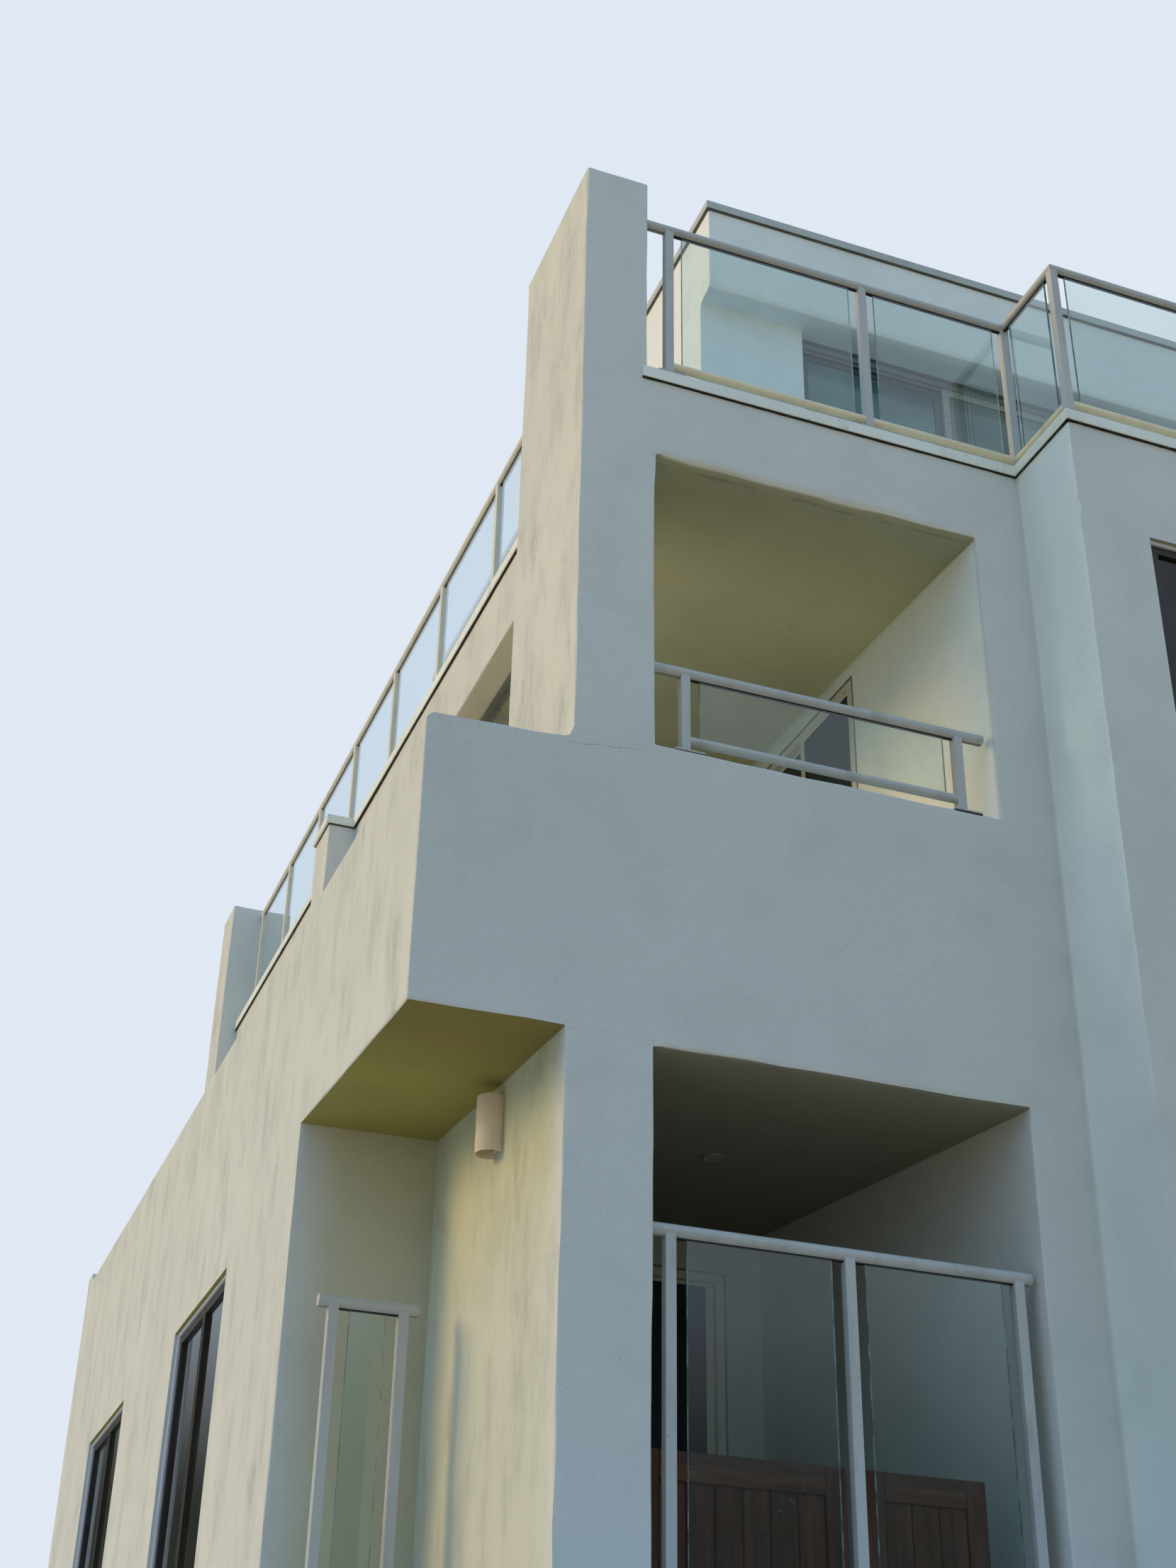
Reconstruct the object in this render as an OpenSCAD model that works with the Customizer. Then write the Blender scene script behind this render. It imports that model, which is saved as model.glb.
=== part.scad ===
// Seaside apartment block in white stucco: two storeys with corner loggias,
// porches and balconies, and a roof terrace round a set-back penthouse.
// The front faces -Y, the ground is z = 0, and the plan is symmetric about x = 0.
// One half is described at +x and mirrored. Sizes are millimetres.

/* [Overall] */
// Depth from the face of the centre bay to the face of the back wall
building_d = 9600; // [9200:50:12000]
// Ground to the floor of the lower storey
plinth_h = 180; // [100:10:400]
// Lower floor to upper floor
storey_h = 3000; // [2900:50:3500]
// Upper floor to roof deck
top_storey_h = 2700; // [2650:50:3200]
// Thickness of the outer walls and parapets
wall_t = 200; // [150:10:260]
// Thickness of the loggia's inner walls
inner_wall_t = 150; // [100:10:200]
// Thickness of the floor slabs and the roof deck
slab_t = 200; // [150:10:300]
// Thickness of the loggia and porch ceilings
ceiling_t = 50; // [20:5:80]

/* [Front] */
// Width of the centre bay
centre_bay_w = 3430; // [3200:10:5000]
// How far the centre bay stands in front of the main front
bay_projection = 490; // [350:10:800]
// Width of wall between the centre bay and a loggia opening
pier_w = 275; // [250:5:600]
// Width of a loggia opening
loggia_w = 1720; // [1400:10:2600]
// Depth of a loggia from the main front to its back wall
loggia_d = 2700; // [2500:50:3200]
// Height of the lower loggias above their floor
head_h = 2250; // [2200:10:2300]
// Upper loggia's head to the roof deck
top_beam_h = 450; // [380:10:600]
// Height of the upper loggia's sill above its floor
sill_h = 650; // [400:10:750]

/* [Pylons and balconies] */
// Width of a pylon, the tall fin at each front corner
pylon_w = 330; // [280:10:450]
// Depth of a pylon
pylon_d = 920; // [700:10:1300]
// Height of a pylon above the roof deck
pylon_rise = 1310; // [1150:10:1600]
// Width of wall between a pylon and its loggia opening
jamb_w = 45; // [20:5:120]
// Width of a corner balcony beside its pylon
balcony_w = 650; // [500:5:1200]
// Height of the balcony parapet above its floor
parapet_h = 615; // [450:5:700]
// Radius of the parapet's outer top corner
parapet_corner_r = 55; // [20:5:120]
// Radius of the fillet between parapet and pylon
pylon_fillet_r = 40; // [20:5:150]
// Depth of the corner porch under the balcony
porch_d = 1730; // [1500:10:2200]
// Height of a porch's front edge above its floor
porch_head_h = 2275; // [2200:5:2350]
// How far that edge hangs below the porch ceiling
porch_lip = 45; // [0:5:100]

/* [Upper side walls] */
// How far the upper side wall stands back from the pylon's outer face
side_inset = 205; // [100:5:300]
// How far a pilaster stands out of the side wall
pilaster_out = 180; // [100:5:190]
// Width of a pilaster
pilaster_w = 360; // [250:10:500]
// Distance from the back wall's face to a pilaster's back face
pilaster_from_back = 3810; // [3000:10:4000]
// Width of a corner block at the back
block_w = 490; // [400:10:600]
// Depth of a corner block at the back
block_d = 400; // [300:10:600]
// How far a corner block stands out of the side wall
block_out = 140; // [60:5:190]
// Height of a corner block above the roof deck
block_rise = 1140; // [1000:10:1500]

/* [Roof edge] */
// Height of the wall top above the roof deck
kerb_h = 15; // [5:5:100]
// Thickness of the coping
coping_t = 85; // [50:5:120]
// How far the coping laps over the wall's face
coping_lap = 20; // [10:5:40]

/* [Railings] */
// Diameter of every round top rail
rail_dia = 54; // [44:2:100]
// Diameter of every round bottom rail
low_rail_dia = 44; // [30:2:70]
// Width of a square post
post_w = 45; // [40:1:52]
// Thickness of the guard glass
guard_glass_t = 12; // [8:1:20]
// Gap between a pane and a post or wall
glass_gap = 50; // [10:5:80]
// Thickness of a post's base plate
plate_t = 12; // [6:1:20]
// How far a base plate shows beside its post along the rail
plate_margin = 50; // [10:5:60]
// How far a base plate shows before and behind its post
plate_lip = 25; // [5:5:30]
// Height of the roof rail above the coping
roof_guard_h = 1010; // [900:10:1200]
// Distance of the roof rail's axis behind the wall's face
roof_rail_set = 45; // [30:5:90]
// Distance of the side runs' rail behind the wall's face
roof_side_set = 115; // [30:5:150]
// Distance between the last two posts of a side run, by the corner block
side_pitch = 970; // [800:10:1200]
// How much wider each bay of a side run is than the one behind it
side_pitch_step = 30; // [0:5:40]
// Distance of a side run's last post from the corner block
side_end_gap = 115; // [80:5:300]
// Height of the roof's bottom rail above the coping
roof_low_rail_h = 80; // [50:5:200]
// Distance of a roof post from the pylon, the corner block or the side run's end
end_post_gap = 143; // [80:1:300]
// Distance of the front run's middle post from the return rail
front_post_gap = 860; // [500:10:1200]
// Height of the loggia rail above the sill
loggia_guard_h = 475; // [350:5:600]
// Height of the lower wind screens above their floor
screen_h = 1555; // [1100:5:1700]
// Height of the wind screen across the back of a porch
porch_screen_h = 1490; // [1100:5:1700]
// Height of the loggia's bottom rail above the sill
low_rail_h = 100; // [60:5:200]
// Distance of the loggia rails' axis behind the front
loggia_rail_set = 70; // [50:5:120]
// Room between a loggia rail's capped end and the wall
rail_end_gap = 30; // [10:5:60]
// Distance of a loggia post from the wall beside it
loggia_post_gap = 170; // [80:5:300]
// Distance of a wind screen's post from the wall beside it
screen_post_gap = 95; // [60:5:300]
// Distance of the porch's wind screen behind the front
porch_screen_set = 1340; // [1000:10:1400]
// Largest distance between roof posts
post_pitch = 1180; // [900:10:1500]

/* [Windows and doors] */
// Width of the centre bay's windows
bay_window_w = 2660; // [2000:10:3000]
// Width of the other windows
window_w = 1400; // [900:10:1600]
// Height of the windows of both main storeys
window_h = 1480; // [1000:10:1500]
// Height of a window's sill above its floor
window_sill_h = 620; // [500:10:700]
// Width of the entrance door opening
entrance_w = 1100; // [900:10:1500]
// Height of the entrance door opening
entrance_h = 2100; // [1980:10:2300]
// Face width of a window or door frame
frame_w = 65; // [40:5:90]
// Depth of a window or door frame
frame_d = 90; // [60:5:120]
// Distance of a sliding door's frame behind the loggia's face
slider_set = 5; // [0:5:40]
// Distance of a frame behind the wall's face
frame_set = 20; // [20:5:80]
// Thickness of window glass
pane_t = 24; // [6:2:36]
// Width of a loggia's sliding door opening
slider_w = 1310; // [1000:10:1500]
// Wall left over a loggia's sliding door
slider_head_t = 10; // [5:5:250]
// Distance of the sliding door from the loggia's back wall
slider_from_back = 45; // [20:5:200]
// Face width of a sliding door's frame
slider_frame_w = 48; // [35:1:80]
// Width of the screen track along the loggia's side opening
track_w = 70; // [40:5:100]
// Depth of the screen track
track_t = 12; // [8:1:25]

/* [Penthouse] */
// Width of the penthouse
pent_w = 5480; // [4600:20:5800]
// Depth of the penthouse
pent_d = 5900; // [4000:50:6000]
// Distance of the penthouse's front band behind the main front
pent_set = 1500; // [1300:10:2200]
// Height of the roof deck to the underside of the front band
pent_soffit_h = 2300; // [2200:10:2500]
// Height of the front band below its coping
pent_band_h = 650; // [400:10:900]
// How far the front band stands out of the wall below it
pent_band_out = 150; // [120:5:300]
// Thickness of the penthouse walls
pent_wall_t = 200; // [150:10:260]
// Width of the penthouse door opening
pent_door_w = 4080; // [3000:20:4300]
// Distance of the penthouse doors behind the wall beside them
pent_door_set = 60; // [20:5:100]
// Radius of the front band's lower edge and of the cove under it
pent_band_r = 55; // [20:5:60]
// Thickness of the penthouse coping
pent_coping_t = 65; // [40:5:120]

/* [Fittings] */
// Height of a wall light on a porch pillar
sconce_h = 270; // [200:10:400]
// Radius of a wall light
sconce_r = 65; // [50:5:100]
// Distance of a wall light's axis from its wall
sconce_out = 35; // [0:5:45]
// Thickness of a wall light's shell
sconce_t = 4; // [2:1:10]
// Distance of a wall light's top below the porch ceiling
sconce_drop = 50; // [10:5:200]
// Distance of a wall light's middle behind the front
sconce_set = 800; // [300:10:1200]
// Diameter of a ceiling light
downlight_dia = 110; // [70:5:150]
// Height of the timber panel by the loggia's inner wall
inner_panel_h = 750; // [500:10:1000]
// Height of the timber panel by the loggia's outer pillar
outer_panel_h = 750; // [300:10:1000]
// Thickness of the timber panels
panel_t = 40; // [20:5:60]
// Distance of the inner timber panel from the loggia's inner wall
panel_gap = 210; // [50:10:400]
// Gap between the two timber panels
panel_split = 80; // [20:5:150]

/* [Hidden] */
$fn = 64;

// Half widths, counted from the centre plane
bay_x = centre_bay_w / 2;
bay_in_x = bay_x - wall_t;
loggia_in_x = bay_x + pier_w;
loggia_out_x = loggia_in_x + loggia_w;
pylon_in_x = loggia_out_x + jamb_w;
pylon_out_x = pylon_in_x + pylon_w;
outer_x = pylon_out_x + balcony_w;
outer_in_x = outer_x - wall_t;
side_x = pylon_out_x - side_inset;
side_in_x = side_x - wall_t;
block_out_x = side_x + block_out;
block_in_x = block_out_x - block_w;
room_x = loggia_in_x - inner_wall_t;

// Depths
bay_y = -building_d / 2;
front_y = bay_y + bay_projection;
front_in_y = front_y + wall_t;
back_y = building_d / 2;
back_in_y = back_y - wall_t;
pylon_back_y = front_y + pylon_d;
porch_back_y = front_y + porch_d;
loggia_back_y = front_y + loggia_d;
loggia_far_y = loggia_back_y + inner_wall_t;
block_y = back_y - block_d;
pilaster_back_y = back_y - pilaster_from_back;
pilaster_y = pilaster_back_y - pilaster_w;

// Heights
lower_z = plinth_h;
upper_z = lower_z + storey_h;
deck_z = upper_z + top_storey_h;
wall_top_z = deck_z + kerb_h;
coping_z = wall_top_z + coping_t;
lower_head_z = lower_z + head_h;
upper_head_z = deck_z - top_beam_h;
porch_head_z = lower_z + porch_head_h;
porch_ceiling_z = porch_head_z + porch_lip;
sill_z = upper_z + sill_h;
parapet_z = upper_z + parapet_h;
slab_under_z = upper_z - slab_t;
entrance_top_z = lower_z + entrance_h;

// Railings
rail_r = rail_dia / 2;
low_rail_r = low_rail_dia / 2;
rail_fit = 0.3;
roof_rail_z = coping_z + roof_guard_h - rail_r;
roof_low_z = coping_z + roof_low_rail_h;
roof_front_y = front_y + roof_rail_set;
roof_bay_y = bay_y + roof_rail_set;
roof_return_x = bay_x - roof_rail_set;
roof_side_x = side_x - roof_side_set;
roof_back_y = back_y - roof_rail_set;
loggia_rail_y = front_y + loggia_rail_set;
loggia_rail_z = sill_z + loggia_guard_h - rail_r;
screen_rail_z = lower_z + screen_h - rail_r;
porch_rail_z = lower_z + porch_screen_h - rail_r;
porch_screen_y = front_y + porch_screen_set;
porch_screen_in_x = pylon_out_x + 5 * rail_end_gap;
porch_screen_out_x = outer_x - 2 * rail_end_gap;

// Windows: centre, sill height, width, height and number of lights
upper_window_z = upper_z + window_sill_h;
lower_window_z = lower_z + window_sill_h;
front_windows = [for (z = [upper_window_z, lower_window_z]) [0, z, bay_window_w, window_h, 3]];
side_near_y = (loggia_far_y + pilaster_y) / 2;
side_far_y = (pilaster_back_y + block_y) / 2;
upper_side_windows = [for (y = [side_near_y, side_far_y]) [y, upper_window_z, window_w, window_h, 2]];
lower_side_windows = [for (y = [side_near_y, side_far_y]) [y, lower_window_z, window_w, window_h, 2]];
back_x = block_in_x / 2 + window_w / 4;
back_upper_windows = [for (x = [-back_x, 0, back_x]) [x, upper_window_z, window_w, window_h, 2]];
back_lower_windows = [for (x = [-back_x, back_x]) [x, lower_window_z, window_w, window_h, 2]];

// Penthouse
pent_x = pent_w / 2;
pent_front_y = front_y + pent_set;
pent_wall_y = pent_front_y + pent_band_out;
pent_back_y = pent_front_y + pent_d;
pent_wall_in_y = pent_wall_y + pent_wall_t;
pent_door_x = pent_door_w / 2;
pent_door_y = pent_wall_y + pent_door_set;
pent_soffit_z = deck_z + pent_soffit_h;
pent_top_z = pent_soffit_z + pent_band_h;

// The same shape on both sides of the centre plane
module both_sides() {
    children();
    mirror([1, 0, 0]) children();
}

// A straight-sided block between two corners
module block(low, high) {
    translate(low) cube([for (i = [0:2]) high[i] - low[i]]);
}

// A wall that faces -Y, from an outline drawn in x and z
module front_panel(y, t) {
    translate([0, y + t, 0]) rotate([90, 0, 0]) linear_extrude(t) children();
}

// A wall that faces X, from an outline drawn in y and z
module side_panel(x, t) {
    translate([x, 0, 0]) rotate([90, 0, 90]) linear_extrude(t) children();
}

module rect(low, high) {
    translate(low) square([high[0] - low[0], high[1] - low[1]]);
}

module window_holes(windows) {
    for (w = windows) rect([w[0] - w[2] / 2, w[1]], [w[0] + w[2] / 2, w[1] + w[3]]);
}

// The clear lights of a window, between its frame and bars
module window_lights(w, face = frame_w) {
    light_w = (w[2] - face * (w[4] + 1)) / w[4];
    for (i = [0:w[4] - 1])
        translate([w[0] - w[2] / 2 + face + i * (light_w + face), w[1] + face])
            square([light_w, w[3] - 2 * face]);
}

module window_frame_outline(windows, face = frame_w) {
    difference() {
        window_holes(windows);
        for (w = windows) window_lights(w, face);
    }
}

module window_pane_outline(windows, face = frame_w) {
    for (w = windows) window_lights(w, face);
}

// Walls and floors
module stucco() { color("#d9dcd6") children(); }

// Floor plan inside the outer walls of the lower storey
module wide_plan() {
    rect([-outer_in_x, front_in_y], [outer_in_x, back_in_y]);
    rect([-bay_in_x, bay_y + wall_t], [bay_in_x, front_in_y + 1]);
}

// The ground floor comes out to the front at the loggias and the corner porches
module ground_floor() {
    color("#b9b6ad") linear_extrude(lower_z) difference() {
        union() {
            wide_plan();
            both_sides() {
                rect([loggia_in_x, front_y], [loggia_out_x, front_in_y + 1]);
                rect([pylon_out_x, front_y], [outer_x, porch_back_y]);
            }
        }
        both_sides() rect([loggia_out_x, front_y - 1], [pylon_out_x, porch_back_y]);
    }
}

module bay_wall() {
    stucco() difference() {
        block([-bay_x, bay_y, 0], [bay_x, front_in_y, wall_top_z]);
        block([-bay_in_x, bay_y + wall_t, -1], [bay_in_x, front_in_y + 1, wall_top_z + 1]);
        front_panel(bay_y - 1, wall_t + 2) window_holes(front_windows);
    }
}

// Outer side wall: lower storey and balcony parapet in one plane, open at the porch
module side_walls() {
    stucco() both_sides() side_panel(outer_in_x, wall_t) difference() {
        rect([front_in_y, 0], [back_in_y, parapet_z]);
        rect([front_in_y - 1, -1], [porch_back_y, porch_head_z]);
        window_holes(lower_side_windows);
    }
}

module back_wall_lower() {
    stucco() front_panel(back_in_y, wall_t) difference() {
        rect([-outer_x, 0], [outer_x, parapet_z]);
        rect([-block_out_x, upper_z], [block_out_x, parapet_z + 1]);
        window_holes(back_lower_windows);
        rect([-entrance_w / 2, lower_z], [entrance_w / 2, entrance_top_z]);
    }
}

module back_wall_upper() {
    stucco() front_panel(back_in_y, wall_t) difference() {
        rect([-block_in_x, upper_z], [block_in_x, wall_top_z]);
        window_holes(back_upper_windows);
    }
}

// Main front between the centre bay and the pylon, with two loggia openings
module front_walls() {
    stucco() both_sides() front_panel(front_y, wall_t) difference() {
        union() {
            rect([bay_x, 0], [loggia_out_x, slab_under_z]);
            rect([bay_x, slab_under_z], [pylon_in_x, wall_top_z]);
        }
        rect([loggia_in_x, -1], [loggia_out_x + 1, lower_head_z]);
        rect([loggia_in_x, sill_z], [loggia_out_x, upper_head_z]);
    }
}

module front_pillars() {
    stucco() both_sides()
        block([loggia_out_x, front_y, 0], [pylon_out_x, porch_back_y, slab_under_z]);
}

module pylons() {
    stucco() both_sides()
        block([pylon_in_x, front_y, slab_under_z], [pylon_out_x, pylon_back_y, deck_z + pylon_rise]);
}

// Front parapet of a corner balcony, with a rounded corner and a fillet at the pylon
module balcony_fronts() {
    stucco() both_sides() front_panel(front_y, wall_t) difference() {
        union() {
            rect([pylon_out_x, porch_head_z], [outer_x, parapet_z]);
            rect([pylon_out_x, parapet_z], [pylon_out_x + pylon_fillet_r, parapet_z + pylon_fillet_r]);
        }
        translate([pylon_out_x + pylon_fillet_r, parapet_z + pylon_fillet_r]) circle(pylon_fillet_r);
        difference() {
            rect([outer_x - parapet_corner_r, parapet_z - parapet_corner_r], [outer_x + 1, parapet_z + 1]);
            translate([outer_x - parapet_corner_r, parapet_z - parapet_corner_r]) circle(parapet_corner_r);
        }
    }
}

// Upper side wall, from the loggia's side opening to the corner block
module upper_side_walls() {
    stucco() both_sides() side_panel(side_in_x, wall_t) difference() {
        rect([loggia_back_y, upper_z], [block_y, wall_top_z]);
        window_holes(upper_side_windows);
    }
}

// Wall over the loggia's side opening
module side_lintels() {
    stucco() both_sides() side_panel(side_in_x, wall_t)
        rect([pylon_back_y, upper_head_z], [loggia_back_y, wall_top_z]);
}

module pilasters() {
    stucco() both_sides()
        block([side_x, pilaster_y, upper_z], [side_x + pilaster_out, pilaster_back_y, wall_top_z]);
}

module corner_blocks() {
    stucco() both_sides()
        block([block_in_x, block_y, upper_z], [block_out_x, back_y, deck_z + block_rise]);
}

// Loggia walls behind the front: inner wall, back wall, outer wall and porch wall
module lower_loggia_walls() {
    back_door = [(loggia_in_x + loggia_out_x) / 2, slider_w / 2];
    stucco() both_sides() difference() {
        translate([0, 0, lower_z]) linear_extrude(slab_under_z - lower_z) {
            rect([room_x, front_in_y], [loggia_in_x, loggia_far_y]);
            rect([room_x, loggia_back_y], [loggia_out_x + inner_wall_t, loggia_far_y]);
            rect([loggia_out_x, porch_back_y], [loggia_out_x + inner_wall_t, loggia_far_y]);
            rect([loggia_out_x, porch_back_y], [outer_in_x, porch_back_y + inner_wall_t]);
        }
        block([back_door[0] - back_door[1], loggia_back_y - 1, lower_z - 1],
              [back_door[0] + back_door[1], loggia_far_y + 1, lower_head_z - slider_head_t]);
    }
}

module upper_loggia_walls() {
    stucco() both_sides() difference() {
        translate([0, 0, upper_z]) linear_extrude(deck_z - slab_t - upper_z) {
            rect([room_x, front_in_y], [loggia_in_x, loggia_far_y]);
            rect([room_x, loggia_back_y], [side_in_x, loggia_far_y]);
        }
        block([room_x - 1, loggia_back_y - slider_from_back - slider_w, upper_z - 1],
              [loggia_in_x + 1, loggia_back_y - slider_from_back, upper_head_z - slider_head_t]);
    }
}

module loggia_ceilings() {
    stucco() both_sides() {
        block([loggia_in_x, front_in_y, lower_head_z],
              [loggia_out_x, loggia_back_y, lower_head_z + ceiling_t]);
        translate([0, 0, upper_head_z]) linear_extrude(ceiling_t) {
            rect([loggia_in_x, front_in_y], [side_in_x, loggia_back_y]);
            rect([loggia_in_x, front_in_y], [pylon_in_x, pylon_back_y]);
        }
    }
}

module porch_ceilings() {
    stucco() both_sides()
        block([pylon_out_x, front_in_y, porch_ceiling_z],
              [outer_in_x, porch_back_y, porch_ceiling_z + ceiling_t]);
}

// Grooved track under the head of the side opening, for a screen that is pushed back
module screen_tracks() {
    color("#8f8a6a") both_sides() difference() {
        block([side_in_x - track_t, pylon_back_y, upper_head_z - track_t],
              [side_in_x - track_t + track_w, loggia_back_y, upper_head_z]);
        block([side_in_x - track_t + track_w / 3, pylon_back_y - 1, upper_head_z - track_t - 1],
              [side_in_x - track_t + 2 * track_w / 3, loggia_back_y + 1, upper_head_z - track_t / 3]);
    }
}

module upper_floor() {
    color("#b9b6ad") translate([0, 0, slab_under_z]) linear_extrude(slab_t) difference() {
        wide_plan();
        both_sides() rect([pylon_in_x, front_in_y - 1], [pylon_out_x, pylon_back_y]);
    }
}

module roof_deck() {
    color("#b9b6ad") translate([0, 0, deck_z - slab_t]) linear_extrude(slab_t) difference() {
        union() {
            rect([-side_in_x, front_in_y], [side_in_x, back_in_y]);
            rect([-bay_in_x, bay_y + wall_t], [bay_in_x, front_in_y + 1]);
            rect([-pylon_in_x, front_in_y], [pylon_in_x, pylon_back_y]);
        }
        both_sides() rect([block_in_x, block_y], [block_out_x, back_y]);
    }
}

// Coping on the wall tops, broken by the pylons and corner blocks
module roof_coping() {
    color("#eceeec") translate([0, 0, wall_top_z]) linear_extrude(coping_t) difference() {
        union() {
            rect([-side_x - coping_lap, front_y - coping_lap], [side_x + coping_lap, back_y + coping_lap]);
            rect([-bay_x - coping_lap, bay_y - coping_lap], [bay_x + coping_lap, front_in_y]);
            both_sides() rect([side_in_x, pilaster_y - coping_lap],
                [side_x + pilaster_out + coping_lap, pilaster_back_y + coping_lap]);
        }
        rect([-side_in_x, front_in_y], [side_in_x, back_in_y]);
        rect([-bay_in_x, bay_y + wall_t], [bay_in_x, front_in_y + 1]);
        both_sides() {
            rect([pylon_in_x, bay_y], [outer_x, pylon_back_y]);
            rect([block_in_x, block_y], [outer_x, back_y + wall_t]);
        }
    }
}

// Railings
module painted() { color("#c9c7c4") children(); }

// One straight tube between two points of a level run. A turn is the angle, in degrees,
// by which the run turns at that end: the tube is mitred there, and 0 leaves a square end.
module tube(a, b, r, turn_a = 0, turn_b = 0) {
    dx = b[0] - a[0];
    dy = b[1] - a[1];
    run = sqrt(dx * dx + dy * dy);
    reach = 4 * r;
    translate([a[0], a[1], a[2]]) rotate([0, 0, atan2(dy, dx)]) difference() {
        translate([turn_a == 0 ? 0 : -reach, 0, 0]) rotate([0, 90, 0])
            cylinder(h = run + (turn_a == 0 ? 0 : reach) + (turn_b == 0 ? 0 : reach), r = r);
        if (turn_a != 0) rotate([0, 0, -turn_a / 2]) translate([-3 * reach, -2 * reach, -2 * r])
            cube([3 * reach, 4 * reach, 4 * r]);
        if (turn_b != 0) translate([run, 0, 0]) rotate([0, 0, turn_b / 2])
            translate([0, -2 * reach, -2 * r]) cube([3 * reach, 4 * reach, 4 * r]);
    }
}

// The top rail runs from pylon to pylon round the centre bay, down both sides and along the back
module roof_top_rails() {
    z = roof_rail_z;
    points = [
        [-pylon_in_x, roof_front_y, z], [-roof_return_x, roof_front_y, z],
        [-roof_return_x, roof_bay_y, z], [roof_return_x, roof_bay_y, z],
        [roof_return_x, roof_front_y, z], [pylon_in_x, roof_front_y, z]
    ];
    turns = [0, -90, 90, 90, -90, 0];
    painted() {
        for (i = [0:4]) tube(points[i], points[i + 1], rail_r, turns[i], turns[i + 1]);
        both_sides() tube([roof_side_x, pylon_back_y, z], [roof_side_x, block_y, z], rail_r);
        tube([-block_in_x, roof_back_y, z], [block_in_x, roof_back_y, z], rail_r);
    }
}

// Posts along one level run: evenly spaced between two end posts
function spaced(first, last, pitch) =
    let (n = max(1, ceil(abs(last - first) / pitch)))
    [for (i = [0:n]) first + (last - first) * i / n];

front_post_x = [roof_return_x, roof_return_x + front_post_gap, pylon_in_x - end_post_gap];
bay_post_x = spaced(-roof_return_x, roof_return_x, post_pitch);
side_post_y = [for (i = [7:-1:0]) block_y - side_end_gap - i * side_pitch - i * (i - 1) / 2 * side_pitch_step];
back_post_x = spaced(-block_in_x + end_post_gap, block_in_x - end_post_gap, post_pitch);

// The low rails butt against the posts
module rails_between(posts, y, z) {
    for (i = [0:len(posts) - 2])
        tube([posts[i] + post_w / 2, y, z], [posts[i + 1] - post_w / 2, y, z], low_rail_r);
}

module roof_low_rails() {
    painted() {
        both_sides() {
            rails_between(front_post_x, roof_front_y, roof_low_z);
            translate([roof_side_x, 0, 0]) rotate([0, 0, 90]) rails_between(side_post_y, 0, roof_low_z);
            translate([roof_return_x, 0, 0]) rotate([0, 0, 90])
                rails_between([roof_bay_y, roof_front_y], 0, roof_low_z);
        }
        rails_between(bay_post_x, roof_bay_y, roof_low_z);
        rails_between(back_post_x, roof_back_y, roof_low_z);
    }
}

// A square post under a rail along x: its head is coped to the rail.
// At a corner of the rail it is coped both ways, and its plate is square.
module post_x(x, y, seat_z, rail_z, corner = false) {
    margin = corner ? plate_lip : plate_margin;
    translate([x, y, 0]) difference() {
        union() {
            block([-post_w / 2, -post_w / 2, seat_z], [post_w / 2, post_w / 2, rail_z]);
            block([-post_w / 2 - margin, -post_w / 2 - plate_lip, seat_z],
                  [post_w / 2 + margin, post_w / 2 + plate_lip, seat_z + plate_t]);
        }
        translate([-post_w, 0, rail_z]) rotate([0, 90, 0]) cylinder(h = 2 * post_w, r = rail_r + rail_fit);
        if (corner) translate([0, post_w, rail_z]) rotate([90, 0, 0])
            cylinder(h = 2 * post_w, r = rail_r + rail_fit);
    }
}

module post_y(x, y, seat_z, rail_z) {
    translate([x, y, 0]) rotate([0, 0, 90]) post_x(0, 0, seat_z, rail_z);
}

function at_return(x) = abs(abs(x) - roof_return_x) < 1;

module roof_posts() {
    painted() {
        both_sides() {
            for (x = front_post_x) post_x(x, roof_front_y, coping_z, roof_rail_z, at_return(x));
            for (y = side_post_y) post_y(roof_side_x, y, coping_z, roof_rail_z);
        }
        for (x = bay_post_x) post_x(x, roof_bay_y, coping_z, roof_rail_z, at_return(x));
        for (x = back_post_x) post_x(x, roof_back_y, coping_z, roof_rail_z);
    }
}

// A pane stands on the low rail and ends in the top rail's groove
module pane_x(x0, x1, y, z0, z1) {
    block([x0, y - guard_glass_t / 2, z0], [x1, y + guard_glass_t / 2, z1]);
}

module panes_between(posts, y, z0, z1) {
    for (i = [0:len(posts) - 2])
        pane_x(posts[i] + post_w / 2 + glass_gap, posts[i + 1] - post_w / 2 - glass_gap, y, z0, z1);
}

module roof_glass() {
    z0 = roof_low_z + low_rail_r;
    z1 = roof_rail_z - rail_r;
    color("#bfd6cf") {
        both_sides() {
            panes_between(front_post_x, roof_front_y, z0, z1);
            translate([roof_side_x, 0, 0]) rotate([0, 0, 90]) panes_between(side_post_y, 0, z0, z1);
            translate([roof_return_x, 0, 0]) rotate([0, 0, 90])
                pane_x(roof_bay_y + glass_gap + post_w / 2, roof_front_y - glass_gap - post_w / 2, 0, z0, z1);
        }
        panes_between(bay_post_x, roof_bay_y, z0, z1);
        panes_between(back_post_x, roof_back_y, z0, z1);
    }
}

// Upper loggia guard on the sill
loggia_post_x = [loggia_in_x + loggia_post_gap, loggia_out_x - loggia_post_gap];
loggia_low_z = sill_z + low_rail_h;

module loggia_top_rails() {
    painted() both_sides()
        tube([loggia_in_x + rail_end_gap, loggia_rail_y, loggia_rail_z],
             [loggia_out_x, loggia_rail_y, loggia_rail_z], rail_r);
}

module loggia_low_rails() {
    painted() both_sides() rails_between(loggia_post_x, loggia_rail_y, loggia_low_z);
}

module loggia_posts() {
    painted() both_sides() for (x = loggia_post_x)
        post_x(x, loggia_rail_y, sill_z, loggia_rail_z);
}

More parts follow.
